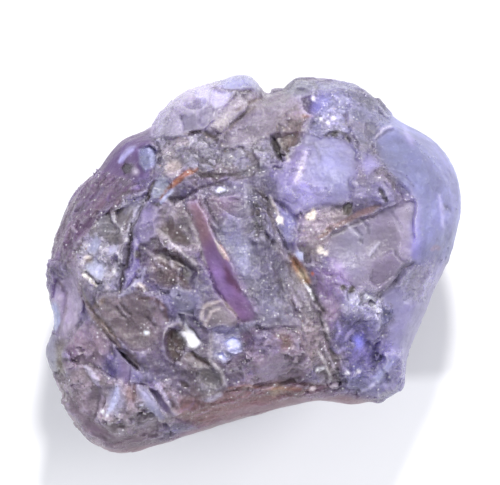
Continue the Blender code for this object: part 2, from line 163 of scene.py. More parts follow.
FLUSH = (0.0, 0.0, 0.0, 0)
FACES = [
    ("right dome", "9c9ccc", FLUSH, 0.16, 0.45, 0.35, 0.0, 0.35,
     [(7.9, 8.9), (9.2, 9.9), (12.3, 9.6), (14.8, 6.1), (15.2, 0.8), (12.6, 0.1), (11.1, 0.2),
      (10.2, -0.2), (10.0, 1.4), (10.0, 4.1), (9.4, 5.4), (7.9, 6.0), (7.4, 7.7)]),
    ("dome middle", "8c8eba", FLUSH, 0.12, 0.45, 0.35, 0.0, 0.6,
     [(7.7, 7.7), (8.7, 8.3), (9.9, 7.8), (10.9, 6.4), (11.2, 3.9), (10.4, 1.4), (10.1, 3.6),
      (9.1, 5.3), (7.9, 6.1)]),
    ("dome light", "c4bcf2", FLUSH, 0.1, 0.4, 0.45, 0.0, 0.15,
     [(9.38, 8.56), (10.0, 7.69), (9.88, 7.06), (9.44, 7.69)]),
    ("right foot", "a6a0ca", FLUSH, 0.12, 0.4, 0.45, 0.02, 0.3,
     [(8.1, -1.7), (9.2, -0.9), (11.1, 0.1), (12.6, 0.1), (13.6, -2.3), (11.1, -8.6), (8.2, -8.6),
      (8.6, -5.4)]),
    ("light under window", "b0aacb", (0.3, 0.0, 0.3, 320), 0.4, 0.4, 0.6, 0.1, 0.25,
     [(8.9, -1.3), (10.1, -0.3), (11.1, 0.1), (11.3, -1.1), (10.8, -2.3), (9.5, -2.4)]),
    ("low foot", "9892be", (0.2, 0.0, 0.15, 300), 0.5, 0.4, 0.7, 0.05, 0.25,
     [(5.6, -6.8), (7.4, -6.2), (8.4, -5.6), (9.3, -5.6), (9.4, -7.6), (8.2, -8.4), (6.1, -8.4)]),
    ("foot ridge", "aeb0d8", (0.0, -0.08, 0.3, 120), 0.3, 0.3, 0.8, 0.0, 0.12,
     [(7.4, -7.2), (8.2, -6.4), (8.7, -5.8), (8.4, -6.8), (7.8, -7.6)]),
    ("window", "a295ae", (0.4, 0.12, 0.1, 120), 0.18, 0.5, 0.5, 0.05, 0.12,
     [(4.4, 1.4), (5.0, 2.1), (6.2, 2.6), (7.7, 3.1), (8.9, 3.8), (9.9, 4.0), (9.9, 2.1),
      (9.9, 0.1), (8.9, -0.7), (8.2, -1.5), (7.4, -1.8), (6.1, -1.5), (5.3, -0.8), (4.7, 0.2)]),
    ("light pane", "aca4be", (0.2, 0.0, 0.08, 170), 0.2, 0.45, 0.5, 0.0, 0.3,
     [(5.1, 1.7), (6.1, 2.3), (6.9, 2.2), (7.1, 0.7), (6.9, -0.8), (6.1, -1.2), (5.4, -0.6),
      (4.9, 0.4)]),
    ("lilac pane", "b09ac8", FLUSH, 0.2, 0.45, 0.5, 0.0, 0.25,
     [(4.8, 0.4), (5.3, 0.2), (6.1, -1.1), (5.6, -1.3), (4.9, -0.4)]),
    ("right pane", "a89cb4", (0.4, 0.05, 0.18, 20), 0.15, 0.45, 0.5, 0.05, 0.1,
     [(8.8, 3.6), (9.9, 3.9), (9.9, 0.3), (9.3, 0.1), (9.1, 1.4)]),
    ("low pane", "a294b0", (0.3, 0.05, 0.25, 250), 0.2, 0.45, 0.5, 0.1, 0.1,
     [(7.4, 0.1), (8.7, 0.8), (9.3, -0.1), (8.6, -0.8), (7.7, -1.4), (7.2, -1.1)]),
    ("lilac strip", "b6aef2", FLUSH, 0.05, 0.45, 0.5, 0.0, 0.1,
     [(9.9, 3.7), (10.2, 3.3), (10.3, 1.4), (10.4, 0.1), (9.9, -0.2), (9.8, 1.4)]),
    ("sparkling heap", "d0cdea", (0.3, 0.0, 0.25, 60), 1.0, 0.3, 0.7, 0.1, 0.25,
     [(5.6, -1.8), (7.4, -1.8), (8.1, -2.3), (7.8, -3.9), (6.1, -3.7), (5.3, -2.6)]),
    ("smudge", "64628e", FLUSH, 0.8, 0.3, 0.6, 0.0, 0.2,
     [(7.69, -2.56), (8.56, -2.56), (8.69, -3.56), (7.81, -3.69)]),
    ("upper purple", "947ca8", (0.3, 0.0, 0.25, 200), 0.5, 0.4, 0.6, 0.1, 0.25,
     [(3.7, -0.3), (4.8, -0.2), (5.8, -1.4), (5.3, -2.3), (4.3, -2.2), (3.8, -1.4)]),
    ("pink mauve", "ac90b0", FLUSH, 0.4, 0.4, 0.6, 0.05, 0.25,
     [(4.3, -1.8), (5.2, -2.3), (5.8, -3.4), (4.9, -4.2), (4.3, -3.2)]),
    ("deep violet", "887cb6", (0.2, 0.0, 0.2, 290), 0.7, 0.5, 0.7, 0.05, 0.3,
     [(4.8, -3.4), (6.1, -2.8), (7.7, -3.9), (8.2, -5.4), (7.6, -6.8), (6.1, -6.9), (5.2, -6.1),
      (4.9, -4.8)]),
    ("blue glow", "8684dc", FLUSH, 0.3, 0.1, 0.6, 0.0, 0.2,
     [(6.19, -4.5), (6.69, -4.31), (6.94, -4.94), (6.62, -5.44), (6.19, -5.19)]),
    ("low violet", "8a84bc", (0.0, 0.0, 0.25, 320), 0.8, 0.4, 0.7, 0.05, 0.2,
     [(5.4, -6.1), (6.8, -6.2), (7.1, -7.2), (6.1, -7.6), (5.3, -7.0)]),
    ("fibrous band", "a094a0", (0.1, 0.05, 0.1, 210), 0.8, 0.25, 0.5, 0.35, 0.2,
     [(1.1, 4.2), (1.8, 3.0), (1.9, 1.4), (2.9, -0.1), (4.1, -2.3), (4.4, -3.9), (5.0, -5.1),
      (5.8, -7.6), (4.5, -7.8), (3.6, -6.1), (2.9, -4.2), (2.4, -2.6), (1.9, -0.4), (1.3, 1.4),
      (0.7, 3.0)]),
    ("pale fibre", "968e9a", (0.0, -0.06, 0.35, 30), 0.6, 0.15, 0.5, 0.1, 0.1,
     [(1.9, -0.3), (2.4, 0.1), (3.2, -1.4), (3.7, -3.1), (3.2, -3.6), (2.6, -2.6)]),
    ("brown fibre", "86685e", (0.0, 0.05, 0.3, 210), 0.5, 0.2, 0.5, 0.6, 0.1,
     [(1.2, 0.9), (1.8, 0.9), (2.2, -1.1), (2.6, -3.1), (2.2, -3.2), (1.8, -1.4)]),
    ("golden film", "d08c48", (0.3, 0.0, 0.1, 40), 0.4, 0.0, 0.5, 0.2, 0.08,
     [(2.3, 0.6), (2.8, 0.1), (3.2, -0.4), (3.6, -1.2), (3.2, -1.4), (2.8, -0.8), (2.4, -0.2)]),
    ("cream film", "f4e4c4", FLUSH, 0.3, 0.0, 0.7, 0.0, 0.06,
     [(2.75, -0.31), (3.12, -0.44), (3.44, -0.94), (3.12, -1.12), (2.81, -0.75)]),
    ("blue tongue", "8884b4", (0.3, 0.0, 0.25, 300), 0.4, 0.4, 0.6, 0.05, 0.2,
     [(1.4, 3.6), (2.3, 3.2), (2.7, 1.9), (2.3, 0.9), (1.8, 1.4), (1.5, 2.6)]),
    ("brown hollow", "b0a0ae", (0.2, 0.1, 0.2, 240), 0.8, 0.35, 0.6, 0.4, 0.2,
     [(2.8, 3.3), (4.1, 3.6), (6.0, 3.6), (6.2, 2.9), (4.8, 1.9), (4.1, 0.1), (3.2, 0.1),
      (2.8, 1.4)]),
    ("olive pit", "4a4438", (0.3, 0.3, 0.0, 0), 0.3, 0.3, 0.9, 0.2, 0.08,
     [(5.5, 3.56), (6.12, 3.69), (6.19, 3.0), (5.88, 2.75), (5.56, 3.06)]),
    ("blue spot", "c4cdf4", FLUSH, 0.3, 0.1, 0.9, 0.0, 0.08,
     [(2.56, 0.81), (3.12, 0.75), (3.12, 0.25), (2.75, 0.12)]),
    ("plateau", "9e98c4", (0.25, -0.05, 0.12, 70), 0.15, 0.4, 0.4, 0.03, 0.2,
     [(2.8, 7.7), (3.4, 8.2), (4.3, 7.7), (5.8, 7.5), (6.6, 6.9), (6.4, 5.5), (6.0, 4.4),
      (6.0, 3.6), (4.2, 3.6), (2.8, 3.2), (2.3, 3.2), (1.6, 3.8), (1.4, 4.6), (1.8, 5.7),
      (2.3, 6.6)]),
    ("plateau glow", "9c9ac4", (0.0, 0.0, 0.05, 90), 0.12, 0.35, 0.4, 0.0, 0.5,
     [(4.1, 7.1), (5.6, 7.1), (5.9, 5.8), (5.4, 4.6), (4.3, 4.2), (3.7, 5.5)]),
    ("plateau violet", "b2a9dc", (0.0, 0.0, 0.25, 250), 0.3, 0.4, 0.5, 0.1, 0.35,
     [(1.6, 4.8), (2.9, 5.1), (4.8, 4.7), (4.8, 3.7), (2.9, 3.3), (1.9, 3.7)]),
    ("plateau flank", "a698cc", (0.3, 0.0, 0.25, 195), 0.3, 0.35, 0.5, 0.0, 0.25,
     [(2.2, 6.4), (2.9, 7.3), (3.4, 7.1), (2.9, 5.5), (2.2, 4.6), (1.7, 4.7)]),
    ("plateau glint", "dcd4e4", FLUSH, 0.6, 0.0, 0.9, 0.0, 0.1,
     [(3.1, 6.9), (3.4, 6.8), (3.1, 5.7), (2.7, 4.8), (2.4, 4.9), (2.8, 5.9)]),
    ("blue border", "7a76bc", FLUSH, 0.1, 0.4, 0.6, 0.0, 0.2,
     [(4.4, 10.7), (5.2, 10.6), (4.6, 9.8), (4.1, 9.1), (3.4, 8.2), (2.9, 8.0), (3.3, 8.9),
      (3.8, 9.8)]),
    ("rough brow", "8a88a4", (0.2, 0.0, 0.1, 110), 0.6, 0.3, 0.6, 0.1, 0.2,
     [(4.9, 10.7), (6.1, 10.7), (6.2, 9.9), (5.8, 9.1), (6.1, 8.2), (5.4, 7.6), (4.3, 7.7),
      (3.4, 8.2), (3.9, 9.1), (4.4, 9.8)]),
    ("glittering brow", "9a96ac", (0.1, 0.0, 0.15, 100), 0.8, 0.25, 0.8, 0.05, 0.2,
     [(3.9, 9.1), (4.8, 9.3), (5.8, 8.6), (5.4, 8.1), (4.3, 8.2)]),
    ("left hill", "a6a4be", (0.3, 0.0, 0.25, 150), 0.4, 0.5, 0.7, 0.15, 0.15,
     [(1.9, 10.7), (2.3, 11.2), (3.1, 11.5), (3.9, 11.3), (4.0, 10.4), (3.2, 10.3), (2.3, 10.4)]),
    ("right hill", "a2a0c4", (0.0, 0.0, 0.2, 60), 0.35, 0.45, 0.7, 0.05, 0.2,
     [(4.0, 11.3), (6.1, 11.3), (7.1, 10.7), (6.1, 10.6), (4.9, 10.7), (4.1, 10.4)]),
    ("shoulder", "7a7890", (0.15, 0.0, 0.25, 40), 0.4, 0.3, 0.5, 0.2, 0.25,
     [(6.2, 10.6), (7.6, 10.3), (8.7, 9.2), (7.9, 8.3), (7.3, 7.1), (6.7, 6.4), (6.1, 7.7),
      (5.8, 9.1)]),
    ("lilac facet", "a49cce", (0.6, -0.05, 0.1, 60), 0.1, 0.3, 0.6, 0.0, 0.3,
     [(6.8, 6.7), (7.1, 7.0), (7.5, 6.4), (7.8, 5.8), (7.4, 5.6), (7.1, 5.1), (6.8, 5.6),
      (6.6, 6.1)]),
    ("low shoulder", "9088a6", (0.2, 0.0, 0.2, 300), 0.55, 0.3, 0.6, 0.25, 0.2,
     [(6.1, 5.3), (7.1, 5.1), (7.8, 5.3), (8.4, 4.8), (9.2, 4.1), (7.7, 3.2), (6.2, 3.7)]),
    ("knob", "b6b6da", FLUSH, 0.05, 0.5, 0.7, 0.0, 0.12,
     [(-2.2, 10.9), (-1.9, 12.1), (-1.1, 12.7), (-0.1, 12.4), (0.6, 11.2), (0.6, 10.6),
      (-0.8, 10.7)]),
    ("clear lobe", "d4cae8", (0.15, 0.0, 0.15, 125), 0.3, 0.5, 0.7, 0.1, 0.15,
     [(-6.6, 8.1), (-6.4, 9.4), (-5.6, 10.6), (-3.9, 11.7), (-2.4, 11.8), (-1.9, 10.7),
      (-1.2, 10.6), (-1.6, 9.9), (-2.4, 8.7), (-2.9, 8.2), (-4.6, 8.1), (-5.7, 7.8)]),
    ("lobe facet one", "d4cef0", (0.4, 0.05, 0.4, 165), 0.1, 0.3, 0.7, 0.0, 0.08,
     [(-3.6, 10.8), (-2.9, 11.1), (-2.6, 10.6), (-3.1, 9.4), (-3.4, 9.8)]),
    ("lobe facet two", "cec8e6", (0.4, 0.04, 0.4, 70), 0.1, 0.3, 0.7, 0.0, 0.08,
     [(-2.44, 10.69), (-1.31, 10.56), (-1.81, 9.69), (-2.44, 9.44), (-2.69, 9.94)]),
    ("lobe facet three", "b8aed0", (0.3, 0.0, 0.35, 250), 0.2, 0.6, 0.9, 0.05, 0.08,
     [(-3.31, 9.44), (-2.56, 9.44), (-2.56, 8.81), (-3.06, 8.31), (-3.44, 8.81)]),
    ("lobe facet four", "b2aac6", (0.3, 0.06, 0.35, 200), 0.2, 0.6, 0.9, 0.1, 0.08,
     [(-4.56, 9.06), (-3.56, 9.31), (-3.31, 8.44), (-4.31, 8.19)]),
    ("tan band", "d0c6cc", (0.2, -0.06, 0.14, 130), 0.3, 0.35, 0.6, 0.3, 0.15,
     [(-2.5, 8.3), (-2.1, 9.2), (-1.3, 10.2), (-0.8, 10.7), (-0.1, 10.6), (-0.4, 9.9),
      (-1.3, 8.9), (-1.9, 8.2)]),
    ("upper face", "aca0b2", (0.2, 0.0, 0.18, 150), 0.35, 0.4, 0.6, 0.2, 0.2,
     [(-0.8, 10.7), (1.9, 10.8), (2.9, 10.3), (3.4, 9.4), (2.9, 8.2), (1.9, 7.9), (1.2, 7.9),
      (-0.2, 7.3), (-1.8, 7.1), (-2.4, 7.7), (-1.9, 8.3), (-0.4, 9.9)]),
    ("brown slope", "a2908e", (0.3, 0.0, 0.3, 215), 0.6, 0.35, 0.7, 0.4, 0.2,
     [(1.9, 9.4), (3.3, 9.7), (3.7, 9.1), (2.8, 7.7), (2.1, 6.4), (1.4, 7.9), (1.7, 8.8)]),
    ("lens pit", "5c5856", (0.5, 0.35, 0.0, 0), 0.3, 0.4, 0.7, 0.2, 0.06,
     [(1.2, 7.9), (1.5, 7.6), (1.9, 6.6), (1.8, 6.2), (1.4, 6.6), (1.1, 7.3)]),
    ("glittering band", "9c97a8", (0.15, 0.0, 0.15, 110), 1.0, 0.3, 0.7, 0.35, 0.2,
     [(-6.4, 7.7), (-4.6, 7.9), (-2.9, 8.1), (-1.9, 7.2), (-1.7, 6.1), (-3.3, 5.7), (-4.6, 5.8),
      (-5.8, 5.4), (-6.3, 6.4)]),
    ("middle band", "9a95a4", (0.1, 0.0, 0.15, 200), 0.8, 0.35, 0.7, 0.2, 0.2,
     [(-1.9, 7.2), (-0.2, 7.3), (1.2, 7.7), (1.4, 6.4), (0.6, 5.4), (-0.8, 5.2), (-1.7, 5.7)]),
    ("arch shade", "685c72", (0.3, 0.2, 0.35, 265), 0.6, 0.3, 0.7, 0.2, 0.12,
     [(-5.8, 4.2), (-4.8, 5.0), (-3.3, 5.4), (-1.3, 5.3), (-2.4, 4.8), (-3.6, 4.3), (-4.8, 3.8)]),
    ("slab", "807a90", (0.35, 0.0, 0.06, 40), 0.5, 0.35, 0.45, 0.15, 0.15,
     [(-3.6, 4.2), (-1.6, 5.1), (-0.1, 4.9), (0.6, 3.9), (0.3, 2.6), (1.4, 1.4), (2.1, -0.4),
      (2.4, -2.3), (2.7, -3.9), (0.6, -3.9), (0.2, -3.1), (-0.6, -1.6), (-1.2, -0.3), (-1.9, 0.9),
      (-2.6, 2.3)]),
    ("slab light", "9695b0", (0.0, 0.0, 0.22, 150), 0.5, 0.3, 0.6, 0.0, 0.3,
     [(-2.6, 2.2), (-1.3, 1.8), (-0.4, 1.1), (-0.3, -0.8), (-1.1, -0.3), (-1.8, 0.8)]),
    ("slab dark", "706880", (0.0, 0.0, 0.25, 330), 0.5, 0.35, 0.5, 0.1, 0.4,
     [(-0.1, 1.7), (1.2, 1.4), (1.9, -0.4), (2.1, -2.3), (1.1, -2.3), (0.6, -0.3)]),
    ("slab patch", "5e5860", (0.1, 0.05, 0.2, 20), 0.9, 0.3, 0.8, 0.4, 0.2,
     [(-0.2, 4.8), (0.7, 4.4), (1.4, 3.2), (1.4, 1.2), (0.6, 1.2), (-0.2, 2.7)]),
    ("slab top", "8a788c", (0.3, 0.06, 0.3, 210), 0.4, 0.35, 0.7, 0.1, 0.1,
     [(-2.9, 3.9), (-1.6, 4.2), (-0.6, 3.9), (-1.4, 3.2), (-1.9, 2.3), (-2.6, 3.1)]),
    ("streak", "906c9a", (0.4, 0.08, 0.35, 215), 0.12, 0.2, 0.35, 0.0, 0.06,
     [(-4.2, 3.8), (-3.4, 3.8), (-2.6, 2.3), (-1.9, 0.9), (-1.2, -0.3), (-0.6, -1.6), (0.3, -3.1),
      (0.1, -3.6), (-0.6, -3.6), (-1.8, -2.6), (-2.8, -0.9), (-3.2, 0.4), (-3.4, 1.4),
      (-3.9, 2.8)]),
    ("streak head", "9c7886", FLUSH, 0.12, 0.2, 0.35, 0.1, 0.15,
     [(-4.2, 3.8), (-3.4, 3.8), (-2.7, 2.4), (-2.4, 1.4), (-3.2, 1.1), (-3.6, 1.9)]),
    ("streak light", "987aae", FLUSH, 0.12, 0.2, 0.35, 0.0, 0.15,
     [(-2.9, 0.6), (-2.4, 0.7), (-1.7, -0.8), (-1.3, -2.1), (-2.1, -1.8), (-2.7, -0.7)]),
    ("streak edge", "6c4260", FLUSH, 0.12, 0.3, 0.6, 0.0, 0.08,
     [(-1.9, 0.1), (-1.1, -0.9), (-0.6, -1.8), (-0.9, -1.8), (-1.6, -1.1)]),
    ("inner hollow", "a094a4", (0.1, 0.05, 0.12, 60), 0.8, 0.3, 0.6, 0.3, 0.15,
     [(-6.4, 3.6), (-5.5, 4.2), (-4.2, 4.1), (-3.8, 2.7), (-3.3, 1.1), (-3.1, 0.1), (-4.2, 0.8),
      (-5.2, 0.9), (-6.4, 0.7), (-7.0, 1.4), (-7.1, 2.6)]),
    ("brown wedge", "544240", (0.4, 0.2, 0.35, 240), 0.4, 0.35, 0.9, 0.3, 0.1,
     [(-5.7, 2.3), (-4.9, 2.7), (-4.2, 1.9), (-3.8, 1.2), (-4.6, 1.2), (-5.3, 1.4)]),
    ("lilac hollow", "9588b4", (0.3, 0.0, 0.3, 150), 0.3, 0.35, 0.7, 0.1, 0.15,
     [(-7.0, 3.2), (-6.4, 3.7), (-5.8, 3.2), (-5.9, 1.9), (-6.7, 1.2), (-7.2, 1.4)]),
    ("violet strip", "7565b0", (0.0, -0.08, 0.3, 0), 0.1, 0.4, 0.7, 0.0, 0.08,
     [(-7.3, 1.6), (-7.0, 1.2), (-7.1, 0.4), (-6.9, -0.3), (-7.3, -1.1), (-7.7, -1.7),
      (-7.9, -1.6), (-7.6, -0.8), (-7.4, 0.3)]),
    ("scoop", "54464c", (0.2, 0.12, 0.3, 50), 0.5, 0.15, 0.6, 0.3, 0.12,
     [(-6.4, 0.4), (-5.8, 0.8), (-4.9, 0.8), (-4.1, 0.3), (-3.4, -0.6), (-3.5, -1.3),
      (-4.2, -1.7), (-5.5, -1.7), (-6.3, -0.8)]),
    ("scoop crescent", "241a1e", (0.3, 0.1, 0.0, 0), 0.25, 0.05, 0.4, 0.1, 0.15,
     [(-6.2, 0.6), (-5.6, 0.9), (-4.7, 0.7), (-3.8, 0.1), (-3.4, -0.7), (-3.7, -1.4),
      (-4.2, -1.3), (-4.3, -0.4), (-4.9, 0.2), (-5.8, 0.3)]),
    ("grey facet", "9490a8", (0.4, 0.05, 0.3, 290), 0.5, 0.4, 0.9, 0.1, 0.1,
     [(-4.8, -1.4), (-3.9, -1.7), (-3.3, -2.1), (-3.6, -3.1), (-4.6, -2.9), (-5.1, -2.2)]),
    ("glittering face", "c0bac8", (0.2, 0.1, 0.12, 70), 1.1, 0.4, 0.95, 0.5, 0.12,
     [(-10.6, 1.6), (-9.7, 2.7), (-8.4, 3.6), (-6.6, 4.3), (-7.2, 2.9), (-7.6, 1.4), (-7.9, -0.3),
      (-8.4, -1.8), (-9.7, -1.9), (-10.4, -0.8), (-10.8, 0.3)]),
    ("pale window", "c0c2e0", (0.8, 0.05, 0.42, 92), 0.3, 0.2, 1.0, 0.0, 0.08,
     [(-10.31, 0.06), (-9.75, 0.31), (-9.19, -0.06), (-9.31, -1.06), (-9.81, -0.81),
      (-10.31, -0.44)]),
    ("small window", "b8b6d4", (0.8, 0.05, 0.4, 85), 0.3, 0.2, 1.0, 0.0, 0.08,
     [(-9.0, 0.94), (-8.44, 1.12), (-8.31, 0.56), (-8.88, 0.38)]),
    ("upper window", "aaacc8", (0.6, 0.05, 0.3, 150), 0.3, 0.3, 1.0, 0.0, 0.1,
     [(-10.0, 1.44), (-9.56, 1.81), (-9.31, 1.19), (-9.81, 0.56), (-10.19, 0.69)]),
    ("gold spot", "b8a484", FLUSH, 0.5, 0.0, 0.8, 0.1, 0.1,
     [(-10.44, 0.38), (-9.94, 0.38), (-9.88, 0.0), (-10.31, 0.0)]),
    ("face shard one", "8c8894", (0.6, 0.1, 0.45, 20), 0.4, 0.35, 1.0, 0.2, 0.08,
     [(-9.69, 2.56), (-8.81, 3.19), (-8.56, 2.31), (-9.31, 1.69)]),
    ("face shard two", "78727a", (0.6, 0.15, 0.45, 140), 0.4, 0.35, 1.0, 0.4, 0.08,
     [(-8.44, 3.31), (-7.44, 3.69), (-7.56, 2.56), (-8.31, 2.31)]),
    ("face shard three", "6a6468", (0.6, 0.1, 0.4, 260), 0.5, 0.35, 1.0, 0.5, 0.08,
     [(-9.19, 1.69), (-8.19, 2.19), (-7.94, 1.19), (-8.81, 1.06)]),
    # This flank is the stone's own dark purple, darkened further as painted shade.
    ("shaded left flank", "62466a", (0.1, 0.0, 0.1, 160), 0.5, 0.2, 0.6, 0.2, 0.2,
     [(-13.3, 0.1), (-12.7, 3.9), (-10.8, 5.4), (-9.3, 6.4), (-7.8, 5.3), (-6.6, 4.6),
      (-8.3, 3.8), (-9.7, 2.9), (-10.7, 1.4), (-11.1, 0.1)]),
    # This lobe is the stone's own purple, darkened further as painted shade.
    ("shaded purple lobe", "4c3060", FLUSH, 0.15, 0.12, 0.35, 0.0, 0.15,
     [(-9.7, 5.9), (-9.3, 7.7), (-8.3, 8.7), (-7.1, 8.8), (-6.2, 8.3), (-5.9, 7.1), (-6.1, 6.1),
      (-6.7, 5.3), (-7.8, 5.1)]),
    ("lobe window", "7478a0", (0.3, 0.1, 0.35, 60), 0.2, 0.45, 0.8, 0.0, 0.1,
     [(-7.1, 7.1), (-6.4, 7.4), (-5.9, 6.9), (-6.0, 6.1), (-6.7, 5.7), (-7.1, 6.3)]),
    ("lobe pit", "3c3338", (0.2, 0.2, 0.0, 0), 0.2, 0.4, 0.9, 0.1, 0.08,
     [(-8.06, 5.81), (-7.81, 6.19), (-7.44, 6.06), (-7.5, 5.62), (-7.88, 5.5)]),
    ("lobe glint", "c4bcc8", FLUSH, 0.2, 0.0, 0.9, 0.0, 0.05,
     [(-7.44, 5.88), (-7.12, 5.75), (-7.19, 5.44), (-7.44, 5.56)]),
    ("grey gem", "b4b8cc", (0.3, 0.0, 0.0, 320), 0.4, 0.5, 1.0, 0.05, 0.08,
     [(-6.44, 4.19), (-6.19, 4.81), (-5.81, 5.31), (-5.38, 5.25), (-5.31, 4.69), (-5.69, 4.06),
      (-6.19, 3.88)]),
    ("cream facet", "b2a4a2", (0.3, 0.0, 0.2, 60), 0.6, 0.2, 0.6, 0.2, 0.12,
     [(-5.62, 5.56), (-5.31, 6.19), (-4.69, 6.31), (-4.31, 5.94), (-4.56, 5.44), (-5.06, 5.19)]),
    ("crack sliver", "b0b4cc", (0.4, 0.0, 0.0, 0), 0.1, 0.3, 0.9, 0.0, 0.06,
     [(-5.62, 4.0), (-5.12, 4.62), (-4.69, 4.94), (-5.06, 4.19), (-5.5, 3.75)]),
    ("left window", "c4b4d0", (0.3, 0.0, 0.3, 170), 0.25, 0.35, 0.9, 0.05, 0.12,
     [(-12.2, -0.8), (-10.9, -0.6), (-10.6, -1.6), (-10.6, -2.8), (-11.1, -4.2), (-11.7, -5.1),
      (-12.2, -4.2), (-12.4, -2.3)]),
    ("window blue", "b0bae6", FLUSH, 0.2, 0.3, 0.9, 0.0, 0.12,
     [(-12.7, -2.6), (-12.1, -2.4), (-11.9, -3.7), (-12.3, -4.2), (-12.7, -3.6)]),
    ("lip", "a09cb8", FLUSH, 0.15, 0.5, 0.8, 0.05, 0.15,
     [(-13.4, -5.1), (-12.7, -4.2), (-12.1, -4.6), (-11.8, -6.2), (-11.9, -7.3), (-12.9, -7.7),
      (-13.4, -6.4)]),
    ("olive rim", "84786c", FLUSH, 0.5, 0.3, 0.6, 0.7, 0.12,
     [(-12.3, -4.7), (-11.8, -4.8), (-11.6, -6.2), (-11.7, -7.8), (-12.2, -7.3), (-12.2, -5.8)]),
    ("mauve face", "a48ca2", (0.3, 0.0, 0.25, 245), 0.5, 0.25, 0.5, 0.2, 0.15,
     [(-11.2, -4.2), (-9.8, -3.8), (-8.9, -4.7), (-8.8, -5.9), (-9.8, -6.4), (-11.1, -6.3),
      (-11.4, -5.2)]),
    ("violet core", "7468a2", (0.0, 0.0, 0.35, 200), 0.4, 0.45, 0.6, 0.0, 0.25,
     [(-9.1, -5.6), (-8.4, -5.4), (-8.2, -6.8), (-8.8, -7.1), (-9.2, -6.3)]),
    ("lilac wedge", "9c88ae", (0.5, 0.0, 0.4, 350), 0.15, 0.35, 0.5, 0.0, 0.08,
     [(-8.8, -5.0), (-8.2, -5.4), (-7.6, -5.9), (-7.4, -7.2), (-7.9, -7.8), (-8.4, -7.2),
      (-8.4, -5.9)]),
    ("chattered face", "887882", (0.3, 0.05, 0.22, 285), 0.45, 0.35, 0.6, 0.25, 0.12,
     [(-9.7, -2.1), (-7.9, -1.7), (-6.4, -1.8), (-5.4, -2.3), (-5.2, -3.3), (-5.6, -4.4),
      (-6.4, -5.2), (-7.8, -5.1), (-8.9, -4.2), (-9.7, -3.1)]),
    ("crevice", "1e1618", (0.0, 0.35, 0.0, 0), 0.2, 0.1, 0.6, 0.0, 0.06,
     [(-8.44, -5.25), (-7.94, -5.44), (-7.44, -5.88), (-7.06, -6.31), (-7.0, -6.62),
      (-7.44, -6.31), (-8.0, -5.75)]),
    ("crevice lip", "5a4340", (0.0, 0.1, 0.0, 0), 0.5, 0.3, 0.8, 0.3, 0.1,
     [(-7.94, -5.31), (-7.31, -5.56), (-6.81, -6.19), (-6.94, -6.56), (-7.44, -5.94)]),
    ("dark pit", "40301e", (0.2, 0.45, 0.3, 200), 0.4, 0.1, 0.7, 0.0, 0.08,
     [(-5.4, -4.4), (-5.1, -3.9), (-4.4, -4.1), (-4.1, -4.8), (-4.3, -5.6), (-4.8, -6.1),
      (-5.2, -5.7)]),
    # Painted highlight: a facet tipped to catch the key lamp, coloured white for its glint.
    ("glint facet painted white", "ffffff", (0.9, 0.0, 0.42, 88), 0.0, 0.0, 1.0, 0.0, 0.06,
     [(-4.6, -3.0), (-4.2, -3.1), (-3.9, -3.9), (-3.6, -4.2), (-3.2, -4.9), (-3.5, -5.2),
      (-4.0, -5.1), (-4.2, -4.6), (-4.6, -4.1), (-4.1, -4.1), (-4.4, -3.5)]),
    ("bracket", "92888e", (0.1, 0.04, 0.08, 330), 0.3, 0.35, 0.8, 0.2, 0.15,
     [(-3.2, -2.6), (-2.6, -2.2), (-1.9, -2.3), (-1.2, -3.1), (-0.8, -3.8), (-1.4, -3.9),
      (-2.4, -3.9), (-2.9, -3.4)]),
    ("lavender facets", "9a94b0", (0.3, 0.06, 0.05, 110), 0.4, 0.4, 0.7, 0.05, 0.08,
     [(-2.7, -3.9), (-0.9, -3.8), (-0.6, -4.6), (-0.8, -5.4), (-1.4, -5.8), (-2.6, -5.9),
      (-2.7, -4.9)]),
    # Painted highlights: two facets tipped towards the key lamp. The larger is partly the stone's own
    # pale blue and partly a painted reflection; the small one is a painted glint.
    ("glint facet painted pale blue", "d8ddff", (0.8, 0.05, 0.38, 95), 0.0, 0.0, 1.0, 0.0, 0.06,
     [(-1.75, -4.81), (-1.19, -4.5), (-0.75, -4.69), (-0.75, -5.44), (-1.06, -5.62),
      (-1.5, -5.44)]),
    ("small glint facet painted pale", "c8cdf0", (0.7, 0.0, 0.4, 80), 0.0, 0.0, 1.0, 0.0, 0.06,
     [(-2.25, -5.56), (-1.81, -5.44), (-1.5, -5.94), (-1.94, -5.88)]),
    ("light spur", "a4a2b4", (0.4, -0.05, 0.3, 200), 0.3, 0.3, 0.7, 0.1, 0.08,
     [(-0.94, -3.81), (0.31, -3.44), (0.56, -3.56), (-0.19, -4.06), (-0.69, -4.31)]),
    ("brown facets", "786a70", (0.4, 0.1, 0.4, 60), 0.4, 0.35, 0.8, 0.4, 0.08,
     [(-4.7, -5.4), (-3.9, -5.3), (-2.7, -5.9), (-2.4, -6.6), (-3.1, -6.8), (-4.2, -6.4),
      (-4.8, -6.2)]),
    ("round bowl", "8e8890", FLUSH, 0.5, 0.35, 0.7, 0.3, 0.1,
     [(-3.2, -6.4), (-2.4, -6.2), (-1.9, -6.7), (-1.7, -7.6), (-2.1, -8.2), (-2.9, -8.3),
      (-3.4, -7.7), (-3.4, -6.9)]),
    ("fans", "b6a6b0", (0.1, 0.0, 0.1, 260), 0.8, 0.4, 0.8, 0.25, 0.25,
     [(-12.7, -7.1), (-10.8, -6.4), (-9.1, -6.8), (-7.4, -7.6), (-5.2, -7.3), (-4.4, -8.3),
      (-4.8, -9.7), (-6.4, -10.6), (-8.3, -11.1), (-10.2, -11.4), (-11.7, -9.2)]),
    ("fan light", "c2c2e0", (0.0, -0.05, 0.35, 170), 0.4, 0.35, 0.9, 0.0, 0.35,
     [(-8.8, -7.8), (-8.2, -7.6), (-7.9, -8.6), (-8.4, -9.3), (-8.9, -8.8)]),
